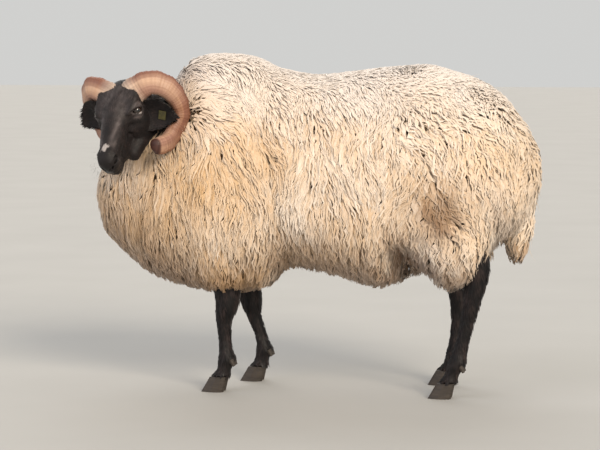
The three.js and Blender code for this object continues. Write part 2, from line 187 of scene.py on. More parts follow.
def rod(start: Sequence[float], end: Sequence[float], r1: float, r2: float) -> Field:
    """A tapered rod with round ends."""
    a, axis = np.array(start, float), np.array(end, float) - np.array(start, float)

    def field(p: Array) -> Array:
        """Signed distance."""
        t = np.clip((p - a) @ axis / (axis @ axis), 0, 1)
        return np.linalg.norm(p - a - t[:, None] * axis, axis=1) - (r1 + (r2 - r1) * t)

    return field


def soft_min(d: Array, e: Array, soft: float) -> Array:
    """The lesser of two distances with a soft seam."""
    h = np.maximum(soft - np.abs(d - e), 0) / soft
    return np.minimum(d, e) - h * h * soft / 4


def blend(soft: float, *bodies: Field) -> Field:
    """Several bodies run together with a soft seam."""

    def field(p: Array) -> Array:
        """Signed distance, roughly."""
        d = bodies[0](p)
        for body in bodies[1:]:
            d = soft_min(d, body(p), soft)
        return d

    return field


def limb(rows: Sequence[Sequence[float]], y: float) -> Field:
    """A body of level ovals down a line of (height, x, fore-and-aft radius, side radius)."""
    line = Line(rows)
    low, high = line.rows[0, 0], line.rows[-1, 0]

    def field(p: Array) -> Array:
        """Signed distance, roughly."""
        a, b = line(p[:, 2], 2), line(p[:, 2], 3)
        k = np.hypot((p[:, 0] - line(p[:, 2])) / a, (p[:, 1] - y) / b)
        return np.maximum((k - 1) * np.minimum(a, b), np.maximum(low - p[:, 2], p[:, 2] - high))

    return field


def slope(field: Field, p: Array, step: float = 0.5) -> Array:
    """The gradient of a field at each point."""
    here = field(p)
    return np.stack([(field(p + step * axis) - here) / step for axis in np.eye(3)], 1)


def sample(field: Field, axes: list[Array], cell: float, skip: int = 4) -> Array:
    """A field on a grid, worked out in full only near where it is zero."""
    coarse = [a[::skip] for a in axes]
    nodes = np.stack(np.meshgrid(*coarse, indexing="ij"), -1)
    rough = field(nodes.reshape(-1, 3)).reshape(nodes.shape[:3])
    nearest = (np.rint(np.arange(len(a)) / skip).astype(int) for a in axes)
    pick = [np.minimum(index, len(c) - 1) for index, c in zip(nearest, coarse)]
    value = rough[np.ix_(*pick)]
    where = np.argwhere(np.abs(value) < 2.4 * skip * cell)
    value[tuple(where.T)] = field(np.stack([axes[k][where[:, k]] for k in range(3)], 1))
    return value


def surface(field: Field, low: Sequence[float], high: Sequence[float], cell: float) -> tuple[Array, Array]:
    """The surface where a field is zero, as even quads.

    Args:
        field: signed distance, negative inside.
        low: least corner of the space searched.
        high: greatest corner of it.
        cell: length of a quad's side.

    Returns:
        Points, and quads of their indices that face outward.
    """
    axes = [np.arange(a, b + cell, cell) for a, b in zip(low, high)]
    value = sample(field, axes, cell)
    inside = value < 0
    corners = np.array([[i, j, k] for i in (0, 1) for j in (0, 1) for k in (0, 1)])
    n = np.array(value.shape) - 1
    shifted = (inside[tuple(slice(a, a + m) for a, m in zip(c, n))] for c in corners)
    count = sum(part.astype(np.int8) for part in shifted)
    cells = np.argwhere((count > 0) & (count < 8))
    v = np.stack([value[tuple((cells + c).T)] for c in corners], 1)
    total, hits = np.zeros((len(cells), 3)), np.zeros(len(cells))
    for a in range(8):
        for b in range(a + 1, 8):
            if np.abs(corners[a] - corners[b]).sum() != 1:
                continue
            cross = (v[:, a] < 0) != (v[:, b] < 0)
            t = np.where(cross, v[:, a] / np.where(cross, v[:, a] - v[:, b], 1), 0)
            total += (corners[a] + t[:, None] * (corners[b] - corners[a])) * cross[:, None]
            hits += cross
    points = np.array([a[0] for a in axes]) + cell * (cells + total / hits[:, None])
    index = np.full(n, -1)
    index[tuple(cells.T)] = np.arange(len(cells))
    quads, around = [], ((0, 0), (1, 0), (1, 1), (0, 1))
    for axis in range(3):
        ends = [slice(0, m) for m in n]
        ends[axis] = slice(1, n[axis] + 1)
        first = inside[: n[0], : n[1], : n[2]]
        at = np.argwhere(first != inside[tuple(ends)])
        u, w = np.eye(3, dtype=int)[(axis + 1) % 3], np.eye(3, dtype=int)[(axis + 2) % 3]
        at = at[(at @ u > 0) & (at @ w > 0)]
        quad = np.stack([index[tuple((at - s * u - t * w).T)] for s, t in around], 1)
        out = first[tuple(at.T)]
        quads.append(np.where(out[:, None], quad, quad[:, ::-1]))
    faces = np.concatenate(quads)
    # Two steps down the field's slope take the points onto the surface itself.
    for _ in range(2):
        g = slope(field, points, cell * 0.05)
        move = np.clip(-field(points) / np.maximum(dot(g, g), 0.1), -cell / 2, cell / 2)
        points = points + g * move[:, None]
    return points, faces


# ------------------------------------------------------------------ the sheep's forms


@dataclass(frozen=True)
class Head:
    """The head: its pose, its forms, and the places of the eyes, ears, mouth and nostrils."""

    poll: tuple = (-436.0, -200.0, 735.0)
    heading: float = -104.5
    pitch: float = 52.0
    roll: float = 5.0
    eye: tuple = (62.0, 47.0, -37.0)
    eye_radius: float = 13.5
    lid: float = 2.2
    hair: float = 2.0
    turn: float = 11.0
    # Folds and swellings: from, to, width, and depth (a swelling's is negative), on one side of the face.
    modelling: tuple = (
        ((86, 38, -50), (116, 31, -46), 5.5, 2.4),
        ((122, 30, -24), (178, 22, -26), 8.0, 1.6),
        ((92, 36, -62), (142, 23, -56), 5.5, -2.6),
        ((44, 47, -16), (84, 41, -20), 5.0, -3.0),
        ((60, 40, -100), (88, 37, -70), 8.0, -2.2),
        ((96, 30, -86), (150, 20, -74), 7.0, 2.0),
        ((24, 34, -10), (40, 40, -14), 9.0, 2.4),
        ((216, 9, -60), (182, 23, -60), 4.5, -2.2),
        ((206, 6, -82), (184, 15, -76), 5.0, -1.6),
        ((222, 0, -66), (209, 15, -68), 1.7, 3.2),
        ((209, 15, -68), (172, 24, -64), 1.7, 3.0),
        ((214, 12, -28), (190, 22, -26), 4.0, -2.4),
        ((206, 20, -46), (186, 28, -44), 5.0, -1.6),
        ((226, 0, -50), (219, 0, -66), 1.8, 2.2),
        ((190, 0, -18), (214, 0, -30), 5.0, -1.0),
        ((62, 60, -52), (78, 52, -54), 2.0, 1.6),
        ((52, 50, -60), (84, 46, -60), 2.0, 1.6),
    )

    @property
    def level(self) -> Pose:
        """Axes of the horns and ears: forward, left and up."""
        turn = Matrix.Rotation(math.radians(self.heading), 4, "Z")
        turn = turn @ Matrix.Rotation(math.radians(self.roll), 4, "X")
        return Pose(Matrix.Translation(self.poll) @ turn)

    @property
    def pose(self) -> Pose:
        """Axes of the face: x from poll to nose, y to its left, z out of the forehead."""
        return Pose(self.level.matrix @ Matrix.Rotation(math.radians(self.pitch), 4, "Y"))

    def beside(self, p: Array) -> Array:
        """Places of the sheep on the axes of horns and ears, its right side laid over its left."""
        q = self.level.local(p)
        return np.stack([q[:, 0], np.abs(q[:, 1]), q[:, 2]], 1)

    def folded(self, q: Array) -> Array:
        """Places on the face with its right side laid over its left, and the nose's slight turn undone."""
        return np.stack([q[:, 0], np.abs(q[:, 1] - self.turn * ease(80, 226, q[:, 0])), q[:, 2]], 1)

    def outline(self, q: Array) -> Array:
        """The head out to the tips of its hair, in the axes of the face."""
        m = self.folded(q)
        return blend(
            14,
            ball((26, 0, -46), (58, 52, 44)),
            ball((56, 0, -40), (50, 50, 34)),
            rod((75, 0, -38), (184, 0, -36), 35, 26),
            ball((196, 0, -44), (27, 27, 30)),
            rod((145, 0, -76), (192, 0, -70), 24, 20),
            rod((58, 38, -108), (132, 22, -104), 27, 20),
            rod((45, 0, -88), (145, 0, -78), 40, 24),
            ball((4, 0, -84), (58, 48, 54)),
            ball((54, 36, -76), (50, 28, 45)),
            ball((60, 40, -25), (24, 15, 13)),
            ball((62, 43, -47), (22, 12, 12)),
            ball((26, 36, -25), (30, 21, 21)),
        )(m)

    def gaze(self) -> tuple[Array, Array, Array]:
        """Axes of the left eye, in the axes of the face: out, toward the nose, and up."""
        out = unit(np.array([0.42, 0.78, 0.46]))
        level = np.array([0.8, 0.0, 0.6])
        ahead = unit(level - out * dot(level, out))
        up = np.cross(ahead, out)
        return out, ahead, up * np.sign(up[2] - up[0])

    def flesh(self, q: Array) -> Array:
        """The skin of the head with its lids, nostrils and mouth, in the axes of the face."""
        m = self.folded(q)
        d = self.outline(q) + self.hair * ease(214, 196, q[:, 0]) + 0.3
        for start, end, width, depth in self.modelling:
            d = d + depth * np.exp(-((rod(start, end, 0, 0)(m) / width) ** 2))
        out, ahead, up = self.gaze()
        e = m - np.array(self.eye)
        r = np.linalg.norm(e, axis=1)
        f = np.maximum(dot(e, out), 1e-3)
        u, w = dot(e, ahead) / f, dot(e, up) / f
        d = soft_min(d, r - self.eye_radius - self.lid, 6)
        # The almond opening between the lids: its half height falls to nothing at both corners.
        almond = np.abs(w - 0.12) - 0.54 * np.maximum(1 - (u / 1.9) ** 2, -1)
        gap = np.maximum(almond * self.eye_radius * 0.75, self.eye_radius - 4 - r)
        gap = np.where(dot(e, out) > 0, gap, 9.0)
        d = np.maximum(d, -gap)
        nostril = rod((224, 6, -47), (198, 23, -31), 2.4, 5.4)(m)
        return -soft_min(-d, nostril, 3)

    def world_outline(self, p: Array) -> Array:
        """The head out to the tips of its hair, in the sheep's axes."""
        return self.outline(self.pose.local(p))


@dataclass(frozen=True)
class Ear:
    """A cupped leaf held out sideways under the horn."""

    hand: int
    root: tuple = (-22.0, 44.0, -74.0)
    tip: tuple = (-42.0, 124.0, -96.0)
    width: float = 33.0
    thickness: float = 2.2
    cup: float = 10.0
    lift: float = 8.0
    reach: float = 84.0

    def frames(self, t: Array) -> tuple[Array, Array, Array, Array, Array]:
        """Centre, length, width and face directions, and half width, at each t from root to tip."""
        mirror = np.array([1, self.hand, 1])
        root, tip = np.array(self.root) * mirror, np.array(self.tip) * mirror
        centre = root + (tip - root) * t[:, None]
        centre[:, 2] += self.lift * np.sin(np.pi * t)
        length = unit(tip - root)
        face = np.array([0.86, self.hand * 0.25, -0.32])
        face = unit(face - length * dot(face, length))
        across = np.cross(face, length)
        leaf = np.maximum(0, np.sin(np.pi * (0.2 + 0.78 * t) ** 0.8))
        half = self.width * np.maximum(0.1, leaf**0.75) - 1.5
        return centre, length, across, face, half

    def shell(self) -> tuple[Array, Array]:
        """The leaf as a closed shell, in the sheep's axes."""
        steps, sides = 30, 36
        t = np.linspace(-0.05, 0.985, steps)
        centre, length, across, face, half = self.frames(np.clip(t, 0, 1))
        # The first ring lies a little inside the head.
        centre = centre + length * np.minimum(t, 0)[:, None] * self.reach
        angle = np.linspace(0, 2 * np.pi, sides, endpoint=False)
        side, lift = np.cos(angle), np.sin(angle)
        side = np.where(side < 0, 1.4, 1.0) * side
        hollow = self.cup * np.sin(np.pi * np.sqrt(np.clip(t, 0, 1)))[:, None] * side**2
        thick = self.thickness * (1 - 0.45 * np.cos(angle) ** 4)
        ring = centre[:, None] + half[:, None, None] * side[:, None] * across
        ring = ring + (hollow + thick * lift)[..., None] * face
        return HEAD.level.world(ring.reshape(-1, 3)), tube_faces(steps, sides)


@dataclass(frozen=True)
class Body:
    """Trunk, neck, tail and legs, out to the tips of the coat."""

    back: tuple = (
        (-340, 770), (-230, 785), (-100, 760), (0, 744), (100, 754), (220, 766), (300, 764), (380, 735),
    )
    belly: tuple = (
        (-340, 268), (-230, 250), (-125, 252), (-80, 296), (-20, 298), (80, 276), (150, 258), (260, 296),
        (380, 325),
    )
    flank: tuple = ((-340, 178), (-230, 208), (-60, 202), (120, 214), (280, 210), (380, 185))
    tail_line: tuple = (
        (612, 462, 30, 30), (570, 478, 46, 44), (500, 481, 45, 46), (430, 479, 39, 45), (375, 477, 36, 40),
        (335, 476, 28, 30), (318, 475, 12, 13),
    )
    # Each leg: how far it stands to the side, and its level ovals from above to the claws.
    legs: tuple = (
        (-92, (
            (350, -218, 48, 36), (290, -204, 38, 32), (225, -200, 31, 28), (196, -203, 26, 27),
            (170, -208, 20, 21), (130, -207, 16.5, 18), (98, -204, 18, 20), (80, -202, 22, 23),
            (58, -208, 19, 21), (36.5, -216, 22, 24),
        )),
        (92, (
            (350, -206, 48, 36), (290, -194, 38, 32), (225, -184, 30, 28), (190, -179, 26, 27),
            (165, -174, 20, 21), (125, -160, 16.5, 18), (96, -151, 18, 20), (79, -147, 22, 23),
            (58, -152, 19, 21), (36.5, -159, 22, 24),
        )),
        (-104, (
            (375, 345, 66, 44), (325, 378, 42, 30), (292, 390, 30, 25), (245, 383, 24, 22),
            (205, 375, 19.5, 19), (150, 362, 17, 18), (105, 351, 19, 20), (82, 345, 23, 23),
            (58, 334, 19, 21), (36.5, 324, 22, 24),
        )),
        (104, (
            (375, 300, 66, 44), (325, 318, 42, 30), (288, 322, 32, 25), (243, 322, 26, 22),
            (200, 324, 19.5, 19), (150, 324, 17, 18), (105, 321, 19, 20), (82, 319, 23, 23),
            (58, 309, 19, 21), (36.5, 299, 22, 24),
        )),
    )
    wool: float = 34.0
    leg_hair: float = 3.0
    low: tuple = (-600, -300, 190)
    high: tuple = (600, 300, 860)

    def barrel(self, p: Array) -> Array:
        """The long barrel of the body."""
        top, bottom, side = (Line(rows)(p[:, 0]) for rows in (self.back, self.belly, self.flank))
        middle = bottom + (top - bottom) * 0.42
        tall = np.where(p[:, 2] > middle, top - middle, middle - bottom)
        past = np.maximum(np.maximum(-235 - p[:, 0], p[:, 0] - 230), 0) / 160
        power = 2.35
        k = np.abs(p[:, 1] / side) ** power + np.abs((p[:, 2] - middle) / tall) ** power + past**power
        return (k ** (1 / power) - 1) * np.minimum(side, tall)

    def fleece(self, p: Array) -> Array:
        """The fleece out to the tips of its locks, without the tail."""
        paired = [egg((322, s * 104, 392), 92, 100, 88, 130, 130) for s in (-1, 1)]
        paired += [egg((-215, s * 92, 345), 80, 96, 84, 110, 98) for s in (-1, 1)]
        whole = blend(
            26,
            self.barrel,
            egg((280, 0, 505), 150, 244, 208, 252, 188),
            egg((-268, 0, 470), 240, 170, 200, 250, 222),
            egg((-238, 0, 610), 94, 130, 150, 176, 190, 4),
            rod((-262, 12, 570), (-392, -84, 618), 142, 84),
            ball((-408, -34, 468), (118, 112, 124)),
            *paired,
        )(p)
        return -soft_min(-whole, self.groin(p), 14)

    def groin(self, p: Array) -> Array:
        """The hollows between belly and thighs, open below and closing toward the middle."""
        flat = p * np.array([1, 0, 1])
        ahead = rod((213, 0, 330), (200, 0, 262), 30, 42)
        behind = rod((225, 0, 320), (272, 0, 262), 28, 45)
        return np.minimum(ahead(flat), behind(flat)) + 0.35 * (150 - np.abs(p[:, 1]))

    def coat(self, p: Array) -> Array:
        """The fleece with the tail."""
        return soft_min(self.fleece(p), limb(self.tail_line, 0)(p), 8)

    def flesh(self, p: Array) -> Array:
        """The skin under the fleece, with the tail's own core."""
        depth = self.wool - 12 * ease(-330, -420, p[:, 0])
        root = rod((430, 0, 610), (480, 0, 560), 24, 17)
        core = blend(20, root, rod((480, 0, 560), (478, 0, 352), 17, 11))
        return soft_min(self.fleece(p) + depth, core(p), 20)

    def leg_outline(self, p: Array) -> Array:
        """All four legs out to the tips of their hair."""
        return np.min([limb(rows, y)(p) for y, rows in self.legs], 0)

    def leg_flesh(self, index: int) -> Field:
        """The skin of one leg, with its tendon behind the shank."""
        y, rows = self.legs[index]
        shape, line = limb(rows, y), Line(rows)

        def field(p: Array) -> Array:
            """Signed distance, roughly."""
            behind = (p[:, 0] - line(p[:, 2])) / line(p[:, 2], 2)
            shank = ease(205, 180, p[:, 2]) * ease(88, 108, p[:, 2])
            groove = 2.2 * shank * np.exp(-(((behind - 0.15) / 0.3) ** 2))
            return shape(p) + self.leg_hair * ease(34, 50, p[:, 2]) + groove

        return field


HEAD = Head()
BODY = Body()


def frame_shift() -> Array:
    """How far the sheep's own axes lie from the frame's, read off its left eye."""
    low, high = (np.array(corner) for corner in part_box("eye_left"))
    return (low + high) / 2 * MM - HEAD.pose.world(np.array([HEAD.eye]))[0]


SHIFT = frame_shift()


# ------------------------------------------------------------------ nodes


def linear(code: str) -> tuple[float, float, float, float]:
    """An sRGB hex colour as linear numbers."""
    parts = [int(code[i : i + 2], 16) / 255 for i in (1, 3, 5)]
    return (*(c / 12.92 if c <= 0.04045 else ((c + 0.055) / 1.055) ** 2.4 for c in parts), 1.0)


def out_of(made: Node) -> Socket:
    """A node's result; a mix of colours has it third among its sockets."""
    return made.outputs[2] if made.bl_idname == "ShaderNodeMix" else made.outputs[0]


def node(tree: Tree, kind: str, settings: dict | None = None, **inputs: object) -> Node:
    """Adds a node to a tree.

    Args:
        tree: the tree.
        kind: the node's type.
        settings: properties of the node itself.
        **inputs: a value, socket or node for each input, by name with _ for a space, or iN for input N.

    Returns:
        The node.
    """
    made = tree.nodes.new(kind)
    for key, value in (settings or {}).items():
        setattr(made, key, value)
    for key, value in inputs.items():
        numbered = key[0] == "i" and key[1:].isdigit()
        socket = made.inputs[int(key[1:]) if numbered else key.replace("_", " ")]
        if isinstance(value, Node):
            value = out_of(value)
        if isinstance(value, Socket):
            tree.links.new(value, socket)
        else:
            socket.default_value = value
    return made


def calc(tree: Tree, operation: str, a: object, b: object) -> Node:
    """A sum done on two numbers."""
    return node(tree, "ShaderNodeMath", {"operation": operation}, i0=a, i1=b)


def ramp(tree: Tree, factor: object, *stops: tuple[float, str]) -> Node:
    """Colours along a factor."""
    made = node(tree, "ShaderNodeValToRGB", Fac=factor)
    band = made.color_ramp
    while len(band.elements) < len(stops):
        band.elements.new(0.5)
    for element, (at, code) in zip(band.elements, stops):
        element.position = at
        element.color = linear(code)
    return made


def mixed(tree: Tree, factor: object, a: object, b: object, how: str = "MIX") -> Node:
    """One colour mixed with another."""
    return node(tree, "ShaderNodeMix", {"data_type": "RGBA", "blend_type": how}, i0=factor, i6=a, i7=b)


def attribute(tree: Tree, name: str) -> Socket:
    """A number kept on the mesh."""
    return node(tree, "ShaderNodeAttribute", {"attribute_name": name}).outputs["Fac"]


# ------------------------------------------------------------------ meshes from arrays


def tube_faces(rings: int, sides: int) -> Array:
    """Triangles of a closed tube whose rings are stored in turn, both ends closed by a fan."""
    faces = []
    for i in range(rings - 1):
        for j in range(sides):
            a, b = i * sides + j, i * sides + (j + 1) % sides
            faces += [(a, b, b + sides), (a, b + sides, a + sides)]
    last = (rings - 1) * sides
    faces += [(0, j + 1, j) for j in range(1, sides - 1)]
    faces += [(last, last + j, last + j + 1) for j in range(1, sides - 1)]
    return np.array(faces)


def make_mesh(name: str, points: Array, faces: Array) -> Mesh:
    """A smooth mesh in the frame from points in millimetres, turned so that it faces outward."""
    tri = faces[:, :3]
    if np.sum(dot(points[tri[:, 0]], np.cross(points[tri[:, 1]], points[tri[:, 2]]))) < 0:
        faces = faces[:, ::-1]
    mesh = bpy.data.meshes.new(name)
    mesh.vertices.add(len(points))
    mesh.vertices.foreach_set("co", ((points + SHIFT) / MM).astype(np.float32).ravel())
    mesh.loops.add(faces.size)
    mesh.loops.foreach_set("vertex_index", np.ascontiguousarray(faces, np.int32).ravel())
    mesh.polygons.add(len(faces))
    mesh.polygons.foreach_set("loop_start", np.arange(0, faces.size, faces.shape[1], dtype=np.int32))
    mesh.update(calc_edges=True)
    mesh.shade_smooth()
    return mesh


def set_values(mesh: Mesh, name: str, values: Array) -> None:
    """Stores one number for each point of a mesh."""
    mesh.attributes.new(name, "FLOAT", "POINT").data.foreach_set("value", values.astype(np.float32).ravel())


def add_map(mesh: Mesh, name: str, places: Array) -> None:
    """Adds a map to a mesh from one place, (u, v), for each corner of each face."""
    mesh.uv_layers.new(name=name).data.foreach_set("uv", places.astype(np.float32).ravel())


def corners(mesh: Mesh) -> Array:
    """Which point each corner of a mesh's faces is."""
    index = np.empty(len(mesh.loops), np.int32)
    mesh.loops.foreach_get("vertex_index", index)
    return index


def add_object(name: str, data: bpy.types.ID) -> Object:
    """Puts a new object in the scene."""
    made = bpy.data.objects.new(name, data)
    bpy.context.scene.collection.objects.link(made)
    return made


def add_piece(mesh: Mesh, material: Material) -> Object:
    """Puts a mesh in the scene as a piece of the sheep."""
    piece = add_object(mesh.name, mesh)
    mesh.materials.clear()
    mesh.materials.append(material)
    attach(piece, "root")
    return piece


def points_of(mesh: Mesh) -> Array:
    """A mesh's points in millimetres on the sheep's own axes."""
    flat = np.empty(len(mesh.vertices) * 3, np.float32)
    mesh.vertices.foreach_get("co", flat)
    return flat.reshape(-1, 3).astype(float) * MM - SHIFT


def triangles(mesh: Mesh) -> Array:
    """A mesh's triangles as rows of point indices."""
    mesh.calc_loop_triangles()
    flat = np.empty(len(mesh.loop_triangles) * 3, np.int32)
    mesh.loop_triangles.foreach_get("vertices", flat)
    return flat.reshape(-1, 3)


def scatter(points: Array, faces: Array, count: int, rng: np.random.Generator) -> Array:
    """Even random places on a surface.

    Args:
        points: the surface's points.
        faces: its triangles.
        count: about how many places are wanted.
        rng: the random source.

    Returns:
        The places.
    """
    a, b, c = (points[faces[:, k]] for k in range(3))
    area = np.linalg.norm(np.cross(b - a, c - a), axis=1) / 2
    # More places than wanted, then only the first in each cell of a grid.
    many = count * 5
    pick = rng.choice(len(faces), many, p=area / area.sum())
    r1, r2 = np.sqrt(rng.random(many)), rng.random(many)
    places = a[pick] * (1 - r1)[:, None] + b[pick] * (r1 * (1 - r2))[:, None] + c[pick] * (r1 * r2)[:, None]
    pitch = math.sqrt(area.sum() / count) * 0.92
    cells = np.floor(places / pitch).astype(int)
    _, first = np.unique(cells, axis=0, return_index=True)
    return places[np.sort(first)]


def unrolled(u: Array, v: Array) -> Array:
    """Where roots lie on the map: two columns, each stretched to run from 0 to 1."""
    place = np.stack([u, v], 1)
    return (place - place.min(0)) / np.ptp(place, axis=0)


@dataclass
class Strands:
    """Tapered strands that share one count of rings and sides.

    Attributes:
        path: centre lines, (strand, ring, 3); the last ring is the tip.
        across: direction of each strand's width, (strand, ring, 3).
        out: direction of its thickness, (strand, ring, 3).
        wide: half width at each ring.
        thick: half thickness at each ring.
        values: numbers kept for the material, (strand, ring) each.
        place: where each root lies on the map, (strand, 2), within 0 to 1.
        ground: the way the coat itself faces at each ring, (strand, ring, 3).
        sides: sides of each strand's section.
        softness: how far the shading follows the coat as a whole, as light scattered in hair does.
        patch: width of a strand's own patch of the map OFBake.
    """

    path: Array
    across: Array
    out: Array
    wide: Array
    thick: Array
    values: dict[str, Array]
    place: Array
    ground: Array
    sides: int = 3
    softness: float = 0.78
    patch: float = 0.003

    def one(self) -> tuple[Array, Array]:
        """One strand's triangles, and each corner's place on the strand's own small map."""
        sides, last = self.sides, self.path.shape[1] - 2
        level = 1 / (last + 1)
        faces, chart = [], []
        for i in range(last):
            for j in range(sides):
                a, b = i * sides + j, i * sides + (j + 1) % sides
                u0, u1, v0, v1 = j / sides, (j + 1) / sides, i * level, (i + 1) * level
                faces += [(a, b, b + sides), (a, b + sides, a + sides)]
                chart += [((u0, v0), (u1, v0), (u1, v1)), ((u0, v0), (u1, v1), (u0, v1))]
        for j in range(sides):
            u0, u1, v0 = j / sides, (j + 1) / sides, last * level
            faces.append((last * sides + j, last * sides + (j + 1) % sides, (last + 1) * sides))
            chart.append(((u0, v0), (u1, v0), ((j + 0.5) / sides, 1)))
        for j in range(1, sides - 1):
            faces.append((0, j + 1, j))
            chart.append(((0, 0), ((j + 1) / sides, 0.02), (j / sides, 0.02)))
        return np.array(faces), np.array(chart, float)

    def mesh(self, name: str) -> Mesh:
        """The strands as one mesh, each a small patch of the map OFBake at its root's place."""
        count, sides = len(self.path), self.sides
        angle = np.linspace(0, 2 * np.pi, sides, endpoint=False)
        wide, thick = self.wide[:, :-1, None] * np.cos(angle), self.thick[:, :-1, None] * np.sin(angle)
        body = self.path[:, :-1, None] + (
            self.across[:, :-1, None] * wide[..., None] + self.out[:, :-1, None] * thick[..., None]
        )
        points = np.concatenate([body.reshape(count, -1, 3), self.path[:, -1:]], 1)
        faces, chart = self.one()
        every = (faces[None] + points.shape[1] * np.arange(count)[:, None, None]).reshape(-1, 3)
        mesh = make_mesh(name, points.reshape(-1, 3), every)
        # Faces that were turned to face outward take their corners' places in the turned order.
        if mesh.loops[1].vertex_index != every[0, 1]:
            chart = chart[:, ::-1]
        spread = self.place[:, None, None] * (1 - 2 * self.patch)
        add_map(mesh, "OFBake", spread + self.patch * (0.5 + chart[None]))
        rng = np.random.default_rng(SEED + count)
        begin = np.stack([rng.integers(0, 60, count), rng.random(count) * 40], 1)
        add_map(mesh, "Fibre", chart[None] + begin[:, None, None])
        mesh.normals_split_custom_set_from_vertices(self.shading(angle))
        for key, value in self.values.items():
            around = np.repeat(value[:, :-1], sides, axis=1)
            set_values(mesh, key, np.concatenate([around, value[:, -1:]], 1))
        return mesh

    def shading(self, angle: Array) -> Array:
        """Shading normals, between each strand's own and the coat's."""
        own = self.across[:, :-1, None] * np.cos(angle)[:, None]
        own = own + self.out[:, :-1, None] * np.sin(angle)[:, None]
        own = own * (1 - self.softness) + self.ground[:, :-1, None] * self.softness
        return unit(np.concatenate([own.reshape(len(own), -1, 3), self.ground[:, -1:]], 1).reshape(-1, 3))


